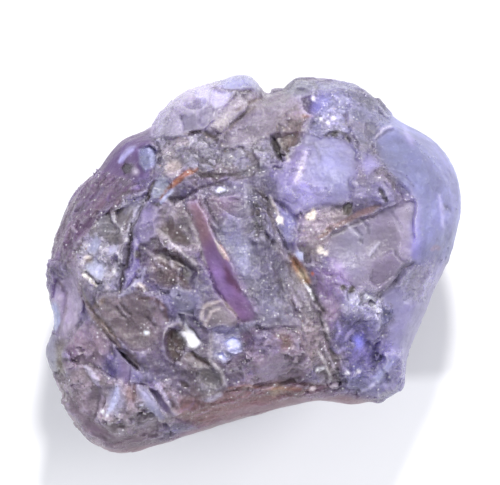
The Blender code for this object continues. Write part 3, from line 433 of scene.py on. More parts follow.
    ("fan stripe", "bcbcd8", (0.0, -0.08, 0.4, 30), 0.2, 0.4, 0.9, 0.0, 0.1,
     [(-7.1, -7.7), (-6.6, -7.8), (-5.8, -8.8), (-5.4, -9.6), (-5.9, -9.6), (-6.6, -8.7)]),
    ("fan furrow", "6f6580", (0.0, 0.12, 0.35, 200), 0.1, 0.4, 0.8, 0.05, 0.08,
     [(-6.4, -7.7), (-5.9, -7.8), (-5.2, -8.9), (-4.8, -9.6), (-5.3, -9.3), (-5.9, -8.6)]),
    ("left furrow", "74666e", (0.0, 0.1, 0.3, 0), 0.5, 0.35, 0.8, 0.4, 0.35,
     [(-9.9, -7.6), (-9.4, -7.8), (-9.7, -9.1), (-10.1, -9.7), (-10.3, -8.8)]),
    ("pink spot", "a88884", FLUSH, 0.4, 0.2, 0.7, 0.1, 0.3,
     [(-7.75, -7.56), (-7.25, -7.56), (-7.31, -8.44), (-7.69, -8.31)]),
    # The red tint here is partly the stone's own mauve-brown and partly a painted reflection.
    ("low middle", "80565c", (0.1, 0.0, 0.0, 0), 0.5, 0.2, 0.6, 0.35, 0.25,
     [(-4.8, -8.3), (-3.3, -8.4), (-1.3, -7.7), (0.6, -7.6), (2.9, -7.3), (5.1, -7.8),
      (2.9, -8.4), (-0.2, -9.1), (-3.3, -10.1), (-4.8, -9.8)]),
    ("mauve ground", "968298", (0.15, 0.0, 0.1, 300), 0.8, 0.35, 0.75, 0.35, 0.2,
     [(-1.6, -5.4), (0.6, -4.2), (2.7, -4.2), (3.7, -5.1), (3.6, -7.2), (1.1, -7.6), (-0.8, -7.6),
      (-1.7, -6.8)]),
    ("smooth mauve", "9684a0", (0.3, 0.0, 0.2, 320), 0.3, 0.35, 0.6, 0.1, 0.2,
     [(0.3, -5.8), (1.8, -5.4), (2.4, -6.4), (1.7, -7.2), (0.6, -7.3), (0.1, -6.6)]),
    ("red patch", "84605c", FLUSH, 0.6, 0.3, 0.7, 0.4, 0.2,
     [(1.56, -4.44), (2.19, -4.44), (2.44, -5.06), (1.81, -5.31)]),
    ("mauve pit", "786078", (0.3, 0.0, 0.3, 200), 0.4, 0.35, 0.8, 0.1, 0.4,
     [(-0.62, -4.19), (0.06, -4.06), (0.19, -4.81), (-0.31, -5.19), (-0.69, -4.81)]),
    ("olive foot", "80727a", (0.1, 0.0, 0.15, 250), 1.0, 0.3, 0.7, 0.5, 0.2,
     [(2.7, -3.7), (4.4, -3.7), (5.2, -5.4), (5.8, -7.6), (4.8, -7.7), (3.7, -6.4), (2.9, -5.1)]),
    ("tan spot", "b09478", FLUSH, 0.4, 0.2, 0.6, 0.3, 0.2,
     [(0.94, -7.69), (1.69, -7.44), (1.94, -7.81), (1.19, -8.31)]),
    # The red tint here is partly the stone's own mauve-brown and partly a painted reflection.
    ("bottom side", "86646e", FLUSH, 0.16, 0.15, 0.5, 0.1, 0.25,
     [(-10.3, -11.1), (-8.3, -11.6), (-5.8, -11.1), (-3.3, -10.1), (-0.8, -9.1), (2.3, -8.4),
      (5.4, -8.1), (7.6, -8.4), (7.6, -11.1), (-10.3, -14.2)]),
    ("low corner", "7c6676", FLUSH, 0.25, 0.25, 0.5, 0.15, 0.35,
     [(-11.2, -8.1), (-10.3, -9.1), (-9.3, -10.1), (-7.8, -10.6), (-5.5, -10.1), (-5.9, -11.2),
      (-8.6, -11.7), (-10.6, -10.3)]),
]

# The way that the splinters run, in degrees from the long side: on most of the stone, and on some
# faces. On the fans they spread from one root.
SPLIT_WAY = -56.0
RIBS = {"fibrous band": -62, "olive foot": -60, "shoulder": -35, "upper face": 38, "tan band": 48,
        "clear lobe": 70, "shaded left flank": 62, "shaded purple lobe": 50, "rough brow": -40, "slab": -65,
        "window": -35, "glittering face": 50, "low middle": 20, "mauve ground": 30,
        "brown hollow": 25, "glittering band": 10, "brown slope": 60, "chattered face": -40}
FAN_ROOT = (-7.3, -6.0)
SMALL_FACE = 2.3
BROAD_WANDER = 0.30
CHIP_WANDER = 0.10
PLAIN_GRAIN = 0.55
WEAR_ROUNDS = 110
MOST_LEVELLED = 0.6
SLOPE_REACH = 1.5


def area(path, edge, wander):
    """The share of a closed area at each point, seen from above, with an uneven edge."""
    path = np.array(path, float)
    points = skin[:, :2] + wander * (broad_wander + 0.5 * fine_wander)[:, :2]
    near = np.full(len(points), 1e9)
    inside = np.zeros(len(points), bool)
    for start, end in zip(path, np.roll(path, -1, axis=0)):
        run = end - start
        offset = points - start
        along = np.clip(offset @ run / (run @ run), 0.0, 1.0)
        near = np.minimum(near, np.linalg.norm(offset - along[:, None] * run, axis=1))
        spans = (start[1] > points[:, 1]) != (end[1] > points[:, 1])
        rise = run[1] if run[1] else 1e-9
        inside ^= spans & (points[:, 0] < run[0] * (points[:, 1] - start[1]) / rise + start[0])
    return ease(-edge, edge, np.where(inside, near, -near))


def is_small(path):
    """Whether a face is a chip rather than one of the broad faces."""
    return max(np.ptp(np.array(path), axis=0)) < SMALL_FACE


def flatten(share, amount, sunk, slope, bearing):
    """Brings a face towards one plane, tips it to one side, and sets it lower than the rest."""
    on_face = (share > 0.5) & (crown > 0.3)
    if on_face.sum() > 12:
        flat = np.column_stack([skin[on_face, :2], np.ones(on_face.sum())])
        plane, *_ = np.linalg.lstsq(flat, skin[on_face, 2], rcond=None)
        level = np.column_stack([skin[:, :2], np.ones(len(skin))]) @ plane
        skin[:, 2] += amount * share * crown * np.clip(level - skin[:, 2], -MOST_LEVELLED, MOST_LEVELLED)
        ahead = np.array([math.cos(math.radians(bearing)), math.sin(math.radians(bearing))])
        downhill = (skin[:, :2] - skin[on_face, :2].mean(axis=0)) @ ahead
        skin[:, 2] -= slope * share * crown * np.clip(downhill, -SLOPE_REACH, SLOPE_REACH)
    skin[:, 2] -= sunk * share * crown


shares = []
grain = np.full(len(skin), PLAIN_GRAIN)
ribs = np.full(len(skin), math.radians(SPLIT_WAY))
for name, code, lie, splintered, clearness, shine, stain, edge, path in FACES:
    share = area(path, edge, CHIP_WANDER if is_small(path) else BROAD_WANDER)
    shares.append(share)
    grain += share * (splintered - grain)
    if name in RIBS:
        ribs = np.where(share > 0.5, math.radians(RIBS[name]), ribs)
worn = 1.0 - ease(0.05, 0.35, grain)
rub(worn * above_base, WEAR_ROUNDS)
fanned = shares[[face[0] for face in FACES].index("fans")] > 0.5
ribs = np.where(fanned, np.arctan2(skin[:, 1] - FAN_ROOT[1], skin[:, 0] - FAN_ROOT[0]), ribs)
for face, share in zip(FACES, shares):
    if any(face[2][:3]):
        flatten(share, *face[2])


# The shells and splinters
# Zoisite breaks into shells like thick glass does, and splits along one grain. The rough skin is
# made of slanting hollows that meet in ridges, longer along the grain than across it. Each size
# has a width, how hollow and how slanting it is, its stretch along the grain, and its own dice,
# thrown in a box that holds the whole stone.

SHELLS = [(2.2, 0.26, 0.52, 1.8, 20), (1.15, 0.11, 0.21, 2.2, 21), (0.6, 0.035, 0.07, 2.0, 22)]
SHELL_BOX = ((-15.0, -14.0, -2.0), (15.0, 14.0, 18.0))


def shells(size, hollow, lean, stretch, seed):
    """Cuts the skin into hollows of one size, each with its own lean, depth of colour and tint."""
    dice = random.Random(seed)
    split = np.column_stack([np.cos(ribs), np.sin(ribs), np.zeros(len(skin))])
    squeezed = skin - split * (np.sum(skin * split, axis=1) * (1.0 - 1.0 / stretch))[:, None]
    squeezed = squeezed + 0.25 * size * fine_wander
    low, high = SHELL_BOX
    count = int(np.prod(np.subtract(high, low) / size))
    tree = kdtree.KDTree(count)
    middles = np.array([[dice.uniform(low[k], high[k]) for k in range(3)] for _ in range(count)])
    leans = np.array([[dice.uniform(-1.0, 1.0) for _ in range(3)] for _ in range(count)])
    lifts = np.array([dice.uniform(-0.5, 0.5) for _ in range(count)])
    for number, middle in enumerate(middles):
        tree.insert(Vector(middle), number)
    tree.balance()
    near = np.array([[found[1] for found in tree.find_n(Vector(point), 4)] for point in squeezed])
    offset = (squeezed[:, None, :] - middles[near]) / size
    height = hollow * (2.0 * np.einsum("ijk,ijk->ij", offset, offset) + lifts[near])
    height += lean * np.einsum("ijk,ijk->ij", offset, leans[near])
    owner = near[np.arange(len(skin)), height.argmin(axis=1)]
    tone[:] += np.array([dice.uniform(-0.5, 0.5) for _ in range(count)])[owner]
    tint[:] += np.array([dice.uniform(-0.5, 0.5) for _ in range(count)])[owner]
    height = height.min(axis=1)
    height -= height.mean()
    skin[:] += look_out * (height * grain * above_base)[:, None]


look_out = outward()
for _ in range(6):
    look_out = neighbour_mean(look_out)
look_out /= np.linalg.norm(look_out, axis=1)[:, None]
tone = np.zeros(len(skin))
tint = np.zeros(len(skin))
shells(*SHELLS[0])

BOWLS = [
    (7.0, 0.9, 0.22, 130, 4, 9.0),
    (-5.1, -0.5, 0.2, 140, 6, 2.9),
    (-2.6, -7.3, 0.2, 120, 10, 1.2),
    (-9.5, -0.6, 0.2, 120, 12, 1.4),
    (-9.0, 2.0, 0.18, 150, 15, 1.3),
    (-5.5, 2.2, 0.18, 60, 12, 1.6),
    (-6.2, 5.0, 0.18, 330, 15, 1.2),
    (-5.2, 6.3, 0.14, 120, 12, 1.4),
    (-3.6, 10.4, 0.18, 160, 20, 1.3),
    (-8.0, -3.4, 0.14, 290, 12, 2.6),
    (-10.4, -5.0, 0.16, 240, 20, 1.8),
    (-11.6, -2.2, 0.18, 170, 40, 1.7),
    (-9.8, -8.6, 0.16, 230, 25, 1.6),
    (0.4, -6.0, 0.14, 290, 10, 1.7),
    (2.4, -7.4, 0.16, 280, 20, 1.3),
    (7.2, 8.6, 0.14, 40, 15, 1.4),
    (6.9, -4.4, 0.14, 330, 12, 1.5),
    (-0.6, 4.0, 0.14, 200, 10, 1.8),
    (0.4, 1.0, 0.12, 20, 8, 2.6),
]


def bowl(x, y, depth, bearing, lean, radius):
    """Takes a shell out of the top: its middle in plan, its depth, where it looks, and its ball."""
    away = np.hypot(skin[:, 0] - x, skin[:, 1] - y) + np.where(crown > 0.3, 0.0, 100.0)
    spot = skin[np.argmin(away)]
    a, e = math.radians(bearing), math.radians(90 - lean)
    look = np.array([math.cos(e) * math.cos(a), math.cos(e) * math.sin(a), math.sin(e)])
    offset = skin + 0.3 * broad_wander - (spot + look * (radius - depth))
    across = np.array([math.sin(a + x), -math.cos(a + x), 0.0])
    narrow = offset + np.outer(offset @ across, across) * 0.5
    reach = np.maximum(np.linalg.norm(narrow, axis=1), 1e-6)
    inside = reach < radius
    skin[inside] += offset[inside] * (radius / reach[inside] - 1.0)[:, None]


for place in BOWLS:
    bowl(*place)
for shell in SHELLS[1:]:
    shells(*shell)


# The lines
# Steps, cracks and bright edges between the faces. Each has a colour, a width, how strongly it
# shows, how deep it is cut, and its path from above.

LINES = [
    ("3a3034", 0.15, 0.85, 0.22, [(-6.44, 4.06), (-6.88, 3.44), (-7.31, 2.44), (-7.62, 1.06),
     (-7.88, -0.44), (-8.19, -1.81)]),
    ("3a3034", 0.11, 0.75, 0.12, [(-4.81, 5.0), (-3.31, 5.44), (-1.31, 5.44), (-0.44, 5.69)]),
    ("2e2a30", 0.12, 0.6, 0.16, [(1.44, 2.19), (2.19, 0.69), (2.94, -0.56), (3.69, -1.81),
     (4.31, -2.94)]),
    ("2e2a30", 0.11, 0.5, 0.12, [(4.06, -3.06), (4.56, -4.81), (5.44, -7.44)]),
    ("2e2a30", 0.1, 0.4, 0.08, [(4.81, -5.19), (5.31, -6.31), (5.81, -7.31)]),
    ("d8d8dc", 0.11, 0.8, -0.05, [(3.12, -1.25), (3.5, -1.69), (3.75, -2.19)]),
    ("c8c4c0", 0.1, 0.6, -0.04, [(4.31, -3.44), (4.69, -4.69)]),
    ("c8c4c0", 0.09, 0.5, -0.04, [(3.94, -5.44), (4.44, -6.31), (4.81, -7.19)]),
    ("c8c0b4", 0.1, 0.6, -0.04, [(1.06, 4.06), (1.44, 3.19), (1.81, 2.44)]),
    ("8e7068", 0.23, 0.65, 0.07, [(4.06, 1.56), (4.81, 2.19), (5.75, 2.62), (6.81, 3.12),
     (7.81, 3.56)]),
    ("4a3e40", 0.09, 0.5, 0.09, [(4.81, 1.69), (5.94, 2.31), (6.94, 2.75), (7.94, 3.19)]),
    # Painted shade: the dark arc under the small ledge at the top, also cut in as a step.
    ("4e4850", 0.12, 0.8, 0.15, [(4.44, 7.75), (4.81, 8.0), (5.25, 8.06), (5.75, 7.88),
     (5.94, 7.5)]),
    ("4a4648", 0.1, 0.6, 0.12, [(3.69, 11.31), (3.94, 10.81), (3.81, 10.25)]),
    ("55506a", 0.12, 0.6, 0.12, [(7.56, 7.62), (8.06, 8.06), (8.69, 8.31)]),
    ("c4bcc8", 0.1, 0.5, -0.06, [(7.5, 7.75), (8.0, 8.25), (8.62, 8.5)]),
    ("706c86", 0.11, 0.5, 0.08, [(8.31, 5.38), (9.06, 4.94), (9.62, 4.31)]),
    ("706c86", 0.11, 0.5, 0.08, [(8.56, 5.69), (9.31, 5.44), (9.88, 4.69)]),
    ("66627c", 0.1, 0.5, 0.1, [(8.06, 4.94), (8.81, 4.19)]),
    ("2c2628", 0.19, 0.8, 0.2, [(7.75, 4.56), (8.0, 4.25), (8.19, 3.88)]),
    ("6b5e55", 0.16, 0.7, 0.12, [(-4.19, 8.06), (-3.31, 8.12), (-2.44, 7.81), (-1.94, 7.31)]),
    ("5c5048", 0.1, 0.7, 0.1, [(-2.5, 10.88), (-1.31, 10.75), (-0.19, 10.62)]),
    ("7c6c5c", 0.12, 0.6, 0.08, [(-1.06, 9.44), (-0.19, 10.0), (0.56, 10.19)]),
    ("7c6c5c", 0.1, 0.5, 0.08, [(-1.69, 8.06), (-0.81, 9.06), (0.06, 9.69)]),
    ("b4aca8", 0.09, 0.7, -0.04, [(1.56, 7.62), (1.94, 7.0), (2.12, 6.25)]),
    ("807c90", 0.09, 0.4, 0.06, [(2.94, 7.06), (3.69, 7.44), (4.06, 6.69), (4.06, 6.19)]),
    ("d8ccc0", 0.09, 0.8, -0.04, [(-2.31, 1.44), (-2.0, 0.81), (-1.75, 0.31)]),
    ("b8b0b8", 0.09, 0.7, -0.05, [(-4.19, 3.19), (-3.56, 1.94), (-3.19, 0.69), (-2.94, -0.06)]),
    ("a49ca4", 0.1, 0.6, -0.06, [(-5.62, 1.69), (-4.69, 1.0), (-3.56, 0.06), (-2.94, -0.19)]),
    ("9a9090", 0.06, 0.7, -0.03, [(-5.88, 0.44), (-4.56, -0.31)]),
    ("9a9090", 0.06, 0.7, -0.03, [(-5.62, 0.56), (-4.31, -0.12)]),
    # Painted glint: near-white strokes on the glittering face.
    ("f0e8dc", 0.09, 0.9, -0.04, [(-10.44, -0.75), (-10.06, -1.0), (-9.62, -1.38)]),
    ("3a3034", 0.09, 0.8, 0.1, [(-10.31, -0.56), (-9.88, -0.88), (-9.44, -1.25)]),
    ("8c88b0", 0.14, 0.6, -0.06, [(-8.25, 6.25), (-7.75, 6.88), (-7.31, 7.19)]),
    ("3c3350", 0.1, 0.7, 0.12, [(-7.06, 7.06), (-6.69, 7.31), (-6.19, 7.12), (-5.88, 6.62)]),
    ("3c3350", 0.11, 0.6, 0.12, [(-6.44, 7.94), (-5.88, 7.5), (-5.69, 6.69), (-5.81, 6.06)]),
    ("4c4038", 0.15, 0.8, 0.18, [(-6.44, 3.94), (-6.38, 4.56), (-6.12, 5.06)]),
    ("3c3436", 0.11, 0.8, 0.12, [(-6.19, 3.56), (-5.69, 3.62), (-5.31, 4.0)]),
    ("8e5c44", 0.21, 0.85, 0.12, [(-3.44, 5.81), (-4.19, 5.5), (-4.94, 4.81), (-5.62, 4.0)]),
    ("7c6a70", 0.11, 0.7, 0.08, [(-12.0, -1.19), (-11.56, -1.81), (-11.69, -2.94),
     (-12.0, -4.0)]),
    ("7d6648", 0.25, 0.5, 0.08, [(-10.81, -1.31), (-10.44, -2.31), (-9.94, -3.06), (-9.31, -3.69),
     (-8.69, -4.56), (-8.19, -5.25)]),
    ("4a3c34", 0.1, 0.5, 0.1, [(-10.69, -1.19), (-10.31, -2.25), (-9.75, -3.06), (-9.12, -3.62),
     (-8.44, -4.56)]),
    ("4c4048", 0.11, 0.7, 0.12, [(-8.44, -2.69), (-7.94, -3.31)]),
    ("4c4048", 0.11, 0.7, 0.12, [(-8.19, -2.5), (-7.62, -3.12)]),
    ("4c4048", 0.1, 0.6, 0.1, [(-6.56, -3.31), (-6.06, -3.88)]),
    ("6a5250", 0.15, 0.7, 0.1, [(-7.06, -2.19), (-6.06, -2.19), (-5.44, -2.69), (-5.25, -3.5)]),
    ("a09890", 0.1, 0.6, -0.06, [(-5.56, -4.44), (-5.19, -3.81), (-4.56, -3.69), (-4.06, -4.06)]),
    ("b0a39a", 0.1, 0.7, -0.06, [(-3.19, -3.44), (-3.0, -2.69), (-1.94, -2.25), (-1.06, -3.19)]),
    ("b0a39a", 0.07, 0.6, -0.05, [(-2.81, -3.75), (-2.56, -3.06), (-2.12, -2.81)]),
    ("a09aa0", 0.09, 0.6, -0.06, [(-4.56, -5.38), (-3.56, -5.56), (-2.62, -6.06), (-1.94, -6.56),
     (-1.62, -7.56)]),
    ("3a2c28", 0.25, 0.8, 0.15, [(-4.38, -7.31), (-4.0, -7.62)]),
    ("6a5450", 0.12, 0.6, 0.12, [(-1.56, -7.88), (0.56, -7.56), (2.31, -7.25), (4.31, -7.56)]),
    # Painted highlight: a pale stroke on the lit lower rim of the round bowl.
    ("a8a4b4", 0.09, 0.5, -0.05, [(-2.94, -8.44), (-2.31, -8.19), (-1.94, -8.0)]),
    # Painted glint: a short white stroke in the sparkling heap.
    ("e8e8f4", 0.15, 0.9, -0.03, [(6.94, -2.0), (7.19, -2.12), (7.44, -2.12)]),
    ("4c4860", 0.1, 0.6, 0.1, [(6.31, 2.12), (6.62, 1.69), (6.69, 1.25)]),
    ("4c4860", 0.1, 0.6, 0.1, [(6.69, 2.69), (7.0, 2.31), (7.06, 1.81)]),
    # Painted glint: a pale bar on the low pane of the window.
    ("c8c4da", 0.08, 0.6, -0.04, [(7.19, 0.44), (7.44, 0.88), (7.69, 1.25)]),
    ("5c586c", 0.08, 0.5, 0.06, [(7.31, 0.31), (7.56, 0.75), (7.81, 1.12)]),
    ("504c60", 0.15, 0.7, 0.15, [(8.69, -0.81), (9.31, -0.19), (9.94, 0.06)]),
    ("b4a8dc", 0.1, 0.7, -0.04, [(4.81, -5.19), (5.19, -5.44), (5.56, -5.19), (5.94, -5.25)]),
    ("b4a8dc", 0.1, 0.7, -0.04, [(5.69, -4.69), (5.94, -4.25), (6.31, -4.19), (6.81, -4.25)]),
    ("b4a8dc", 0.09, 0.6, -0.04, [(5.19, -3.56), (5.31, -4.19), (5.12, -4.69)]),
    ("b08a84", 0.19, 0.4, 0.0, [(11.0, 0.81), (11.25, 0.94), (11.56, 0.88)]),
    ("4c4860", 0.16, 0.5, 0.08, [(11.88, 3.5), (12.19, 3.25)]),
    ("a09cc4", 0.11, 0.7, -0.04, [(-8.19, 6.19), (-7.81, 6.62), (-7.44, 7.0)]),
    # Painted glints: a pale blue stroke on the lobe at the upper left.
    ("b0b2d6", 0.21, 0.6, 0.0, [(-6.44, 7.06), (-6.19, 6.56), (-6.25, 6.0)]),
    ("4a3c44", 0.1, 0.6, 0.08, [(-8.56, 3.81), (-8.06, 4.19), (-7.5, 4.38), (-6.62, 4.56)]),
    ("56484c", 0.14, 0.6, 0.12, [(-7.44, 3.19), (-7.69, 2.56), (-7.88, 1.94)]),
    ("b4b0c8", 0.15, 0.6, -0.06, [(-7.06, 3.56), (-7.19, 3.06), (-7.31, 2.56)]),
    ("5e4450", 0.15, 0.5, 0.05, [(-9.12, 3.81), (-9.56, 3.31), (-9.94, 2.81)]),
    ("5e4448", 0.16, 0.5, 0.06, [(-8.19, 3.88), (-8.56, 3.5), (-8.94, 3.06)]),
    ("b8bce0", 0.14, 0.8, -0.06, [(-5.0, 4.5), (-5.31, 4.12), (-5.62, 3.69)]),
    ("d4c8c0", 0.09, 0.6, -0.04, [(-3.12, -3.06), (-3.0, -3.44), (-2.88, -3.88)]),
    ("5a4844", 0.14, 0.7, 0.1, [(-4.19, -5.75), (-3.81, -5.56), (-3.31, -5.81), (-2.69, -6.12)]),
    ("40343a", 0.09, 0.6, 0.08, [(-11.69, -5.88), (-10.81, -6.19), (-10.06, -6.25),
     (-9.56, -6.5), (-9.31, -6.81)]),
    ("ccc8e0", 0.25, 0.5, -0.05, [(-10.31, -6.44), (-9.88, -6.88), (-9.5, -7.56)]),
    ("c8ccee", 0.25, 0.6, -0.06, [(-8.38, -7.56), (-8.38, -8.25), (-8.69, -8.88),
     (-9.06, -9.38)]),
    ("b0a4b8", 0.23, 0.4, -0.04, [(-9.25, -7.69), (-9.44, -8.56), (-9.62, -9.31)]),
    ("50444c", 0.09, 0.7, 0.1, [(-9.44, -8.06), (-9.56, -8.81), (-9.88, -9.69)]),
    ("6a4a48", 0.09, 0.6, 0.08, [(-7.25, -7.56), (-7.31, -8.44)]),
    ("bcb8d0", 0.25, 0.5, -0.05, [(-7.0, -7.5), (-6.44, -8.06), (-5.94, -8.88)]),
    ("6c5e86", 0.12, 0.6, 0.08, [(-6.38, -7.31), (-5.81, -8.19), (-5.38, -9.12)]),
    ("b4acd0", 0.1, 0.5, -0.04, [(-6.06, -7.25), (-5.5, -8.0), (-5.12, -8.75)]),
    ("544c58", 0.25, 0.4, 0.08, [(-7.19, -8.75), (-6.75, -8.88), (-6.38, -9.12)]),
    ("4a4048", 0.09, 0.5, 0.05, [(-9.94, -10.5), (-9.25, -10.81), (-8.56, -11.12)]),
    # Painted highlights: pale strokes on the lit right and lower rim of the round bowl.
    ("bcb4b4", 0.09, 0.6, -0.05, [(-2.44, -6.19), (-1.94, -6.81), (-1.81, -7.5)]),
    ("b8b4c8", 0.1, 0.6, -0.04, [(-3.0, -8.44), (-2.44, -8.38), (-1.94, -8.12)]),
    ("b4acac", 0.09, 0.5, -0.04, [(-2.62, -4.19), (-2.62, -5.12), (-2.62, -5.94)]),
    ("5c5660", 0.16, 0.5, 0.08, [(4.06, -5.12), (4.56, -5.94), (5.06, -6.88), (5.31, -7.5)]),
    ("a29aa6", 0.1, 0.5, -0.04, [(4.38, -5.25), (4.88, -6.12), (5.31, -7.06)]),
    ("4a3c3c", 0.15, 0.7, 0.08, [(1.5, -7.62), (2.19, -7.25), (2.88, -7.06)]),
    ("a87c64", 0.08, 0.5, 0.03, [(-1.5, -7.69), (-0.5, -7.56), (0.56, -7.69), (1.81, -7.75),
     (2.94, -7.69)]),
    ("54384a", 0.12, 0.6, 0.05, [(2.12, -8.06), (2.94, -8.19)]),
    # Painted glints: a white-lilac stroke on the low foot.
    ("dcd8f2", 0.1, 0.6, -0.04, [(6.75, -7.94), (7.19, -7.69), (7.62, -7.38)]),
    ("a6a6bc", 0.25, 0.5, -0.07, [(-8.19, -2.06), (-7.44, -1.56), (-6.94, -1.06),
     (-6.69, -0.38)]),
    ("4e3a3a", 0.16, 0.6, 0.05, [(-6.25, 0.75), (-5.62, 0.94), (-4.94, 0.69), (-4.31, 0.12)]),
    ("b8b0b4", 0.1, 0.7, -0.05, [(-5.81, 2.12), (-5.06, 1.38), (-4.31, 0.62), (-3.5, -0.12)]),
    ("a8a0a4", 0.09, 0.6, -0.05, [(-7.19, 1.12), (-6.56, 0.81), (-6.0, 0.31)]),
    # Painted glint: a short white-tan stroke left of the scoop.
    ("e0d4c8", 0.09, 0.8, -0.03, [(-7.0, -1.31), (-6.56, -1.62)]),
    ("6a5448", 0.08, 0.7, 0.05, [(-7.12, -1.5), (-6.69, -1.81)]),
    ("50444c", 0.08, 0.6, 0.06, [(-7.88, -3.25), (-7.56, -3.88)]),
    ("50444c", 0.08, 0.6, 0.06, [(-7.62, -3.19), (-7.31, -3.75)]),
    ("50444c", 0.08, 0.5, 0.06, [(-5.94, -2.5), (-5.62, -2.94), (-5.38, -3.44)]),
    ("8c7458", 0.25, 0.5, 0.02, [(-9.81, -2.69), (-9.5, -2.44), (-9.19, -2.25)]),
    ("8a7a9e", 0.17, 0.6, 0.05, [(-11.69, -1.25), (-11.69, -2.31), (-11.94, -3.56)]),
    ("6c6078", 0.09, 0.6, 0.05, [(-12.69, -4.12), (-12.19, -4.38), (-11.75, -3.69)]),
    ("8c5c44", 0.1, 0.5, 0.03, [(3.12, 9.06), (3.56, 9.06)]),
    ("746aa8", 0.19, 0.4, 0.03, [(2.44, 4.69), (3.06, 4.81), (3.81, 4.56), (4.56, 4.69)]),
    ("4c4650", 0.11, 0.5, 0.08, [(-2.94, 3.81), (-2.56, 3.0), (-1.94, 2.12)]),
    ("4a4048", 0.1, 0.6, 0.08, [(-4.06, 4.12), (-3.31, 4.56), (-2.31, 4.94), (-1.56, 5.19)]),
    ("9a94a6", 0.1, 0.5, -0.05, [(-0.62, 4.81), (-0.44, 3.75), (-0.19, 2.69)]),
    ("50545e", 0.08, 0.7, 0.05, [(-2.31, 4.25), (-2.0, 4.12), (-1.62, 4.38)]),
    # Painted glint: the white stroke on the small lens.
    ("e8ecf8", 0.12, 0.7, -0.04, [(-2.19, 4.44), (-1.88, 4.56), (-1.69, 4.5)]),
    ("dcb8a8", 0.08, 0.7, -0.02, [(-2.0, 1.06), (-1.75, 0.56), (-1.56, 0.19)]),
    ("6a6478", 0.1, 0.4, 0.06, [(8.56, 3.12), (8.94, 2.44), (9.19, 1.94)]),
    ("b8b2ca", 0.09, 0.5, -0.04, [(5.81, 2.38), (6.19, 1.88), (6.69, 1.56)]),
    ("b4aecc", 0.08, 0.5, -0.03, [(11.5, 4.25), (11.69, 3.19), (11.69, 2.06)]),
    ("66627c", 0.09, 0.5, 0.05, [(11.75, 3.69), (11.94, 3.44), (11.75, 3.25)]),
]
# Small spots. The near-white and cream ones are painted glints and sparkles; the last one is painted
# shade under the small ledge at the top; the rest are dark and rust-red specks.
SPOTS = [
    ("e6dccc", 0.22, (3.5, 2.88)), ("e6dccc", 0.14, (3.75, 3.19)), ("d8cfc8", 0.2, (4.12, 0.81)),
    ("d8cfc8", 0.12, (4.44, 0.62)), ("f0ead8", 0.14, (1.62, 2.69)),
    ("9c5444", 0.07, (3.69, -0.69)), ("e6e6f4", 0.1, (-2.06, 4.56)),
    ("f0eef4", 0.06, (-6.5, -4.25)), ("3a3034", 0.18, (-7.12, 0.56)),
    ("e8eef2", 0.09, (-6.56, -4.25)), ("eeeaf0", 0.07, (-8.31, 0.69)),
    ("eeeaf0", 0.07, (-8.56, -0.5)), ("eeeaf0", 0.07, (-7.81, 1.44)),
    ("eceaf0", 0.08, (4.0, -6.56)), ("eceaf0", 0.06, (4.25, -6.44)),
    ("e0ccd4", 0.12, (3.69, -7.75)), ("e8e4ec", 0.07, (5.75, -6.81)),
    ("e8e4ec", 0.07, (6.5, -6.69)), ("e6dcd0", 0.12, (1.62, 2.69)),
    ("eceaf0", 0.07, (-6.88, -8.81)), ("eceaf0", 0.06, (-8.94, -9.38)),
    ("eceaf0", 0.06, (-9.31, -9.12)), ("eceaf0", 0.08, (3.75, 10.25)),
    ("eceaf0", 0.06, (4.19, 8.88)), ("eceaf0", 0.06, (4.62, 8.69)),
    ("eceaf0", 0.06, (4.94, 8.94)), ("242024", 0.06, (-1.44, 5.31)),
    ("3a3034", 0.16, (5.5, -1.5)), ("3a3034", 0.18, (6.06, -1.62)),
    ("2e2830", 0.18, (5.06, 7.94)),
]


def stroke(path, width, wander=0.10):
    """The share of a band along a path at each point, seen from above, thinner at both ends."""
    points = skin[:, :2] + wander * (broad_wander + 0.6 * fine_wander)[:, :2]
    path = np.array(path, float)
    lengths = np.linalg.norm(np.diff(path, axis=0), axis=1)
    near = np.full(len(points), 1e9)
    travel = np.zeros(len(points))
    passed = 0.0
    for start, end, length in zip(path[:-1], path[1:], lengths):
        ahead = (end - start) / length
        offset = points - start
        along = np.clip(offset @ ahead, 0.0, length)
        away = np.linalg.norm(offset - np.outer(along, ahead), axis=1)
        travel = np.where(away < near, (passed + along) / lengths.sum(), travel)
        near = np.minimum(near, away)
        passed += length
    half = width / 2 * (0.35 + 0.65 * ease(0.0, 0.35, 1.0 - np.abs(2.0 * travel - 1.0)))
    return np.clip(1.0 + (half - near) / SKIN_QUAD, 0.0, 1.0)


line_shares = []
for code, width, strength, cut, path in LINES:
    share = stroke(path, width)
    line_shares.append(share)
    skin[:, 2] -= cut * share * crown
skin[:, 2] = np.maximum(skin[:, 2], 0.0)
skin_mesh.vertices.foreach_set("co", (skin * MM).ravel())
skin_mesh.update()
skin_mesh.polygons.foreach_set("use_smooth", np.ones(len(skin_mesh.polygons), bool))
skin_mesh.set_sharp_from_angle(angle=math.radians(24.0))


# The colours of the stone
# Zoisite shows violet, blue and grey-brown by the way that light runs through it, and films of
# iron oxide and dust lie in its cracks. Ridges are painted pale as a highlight, hollows are
# painted darker as shade, and the steep rim of the dome gets a painted pale-blue glow.

def pigment(code):
    """A colour as the eye reads it, from a six-figure code, made linear."""
    parts = [int(code[k:k + 2], 16) / 255 for k in (0, 2, 4)]
    return np.array([((c + 0.055) / 1.055) ** 2.4 if c > 0.04 else c / 12.92 for c in parts])


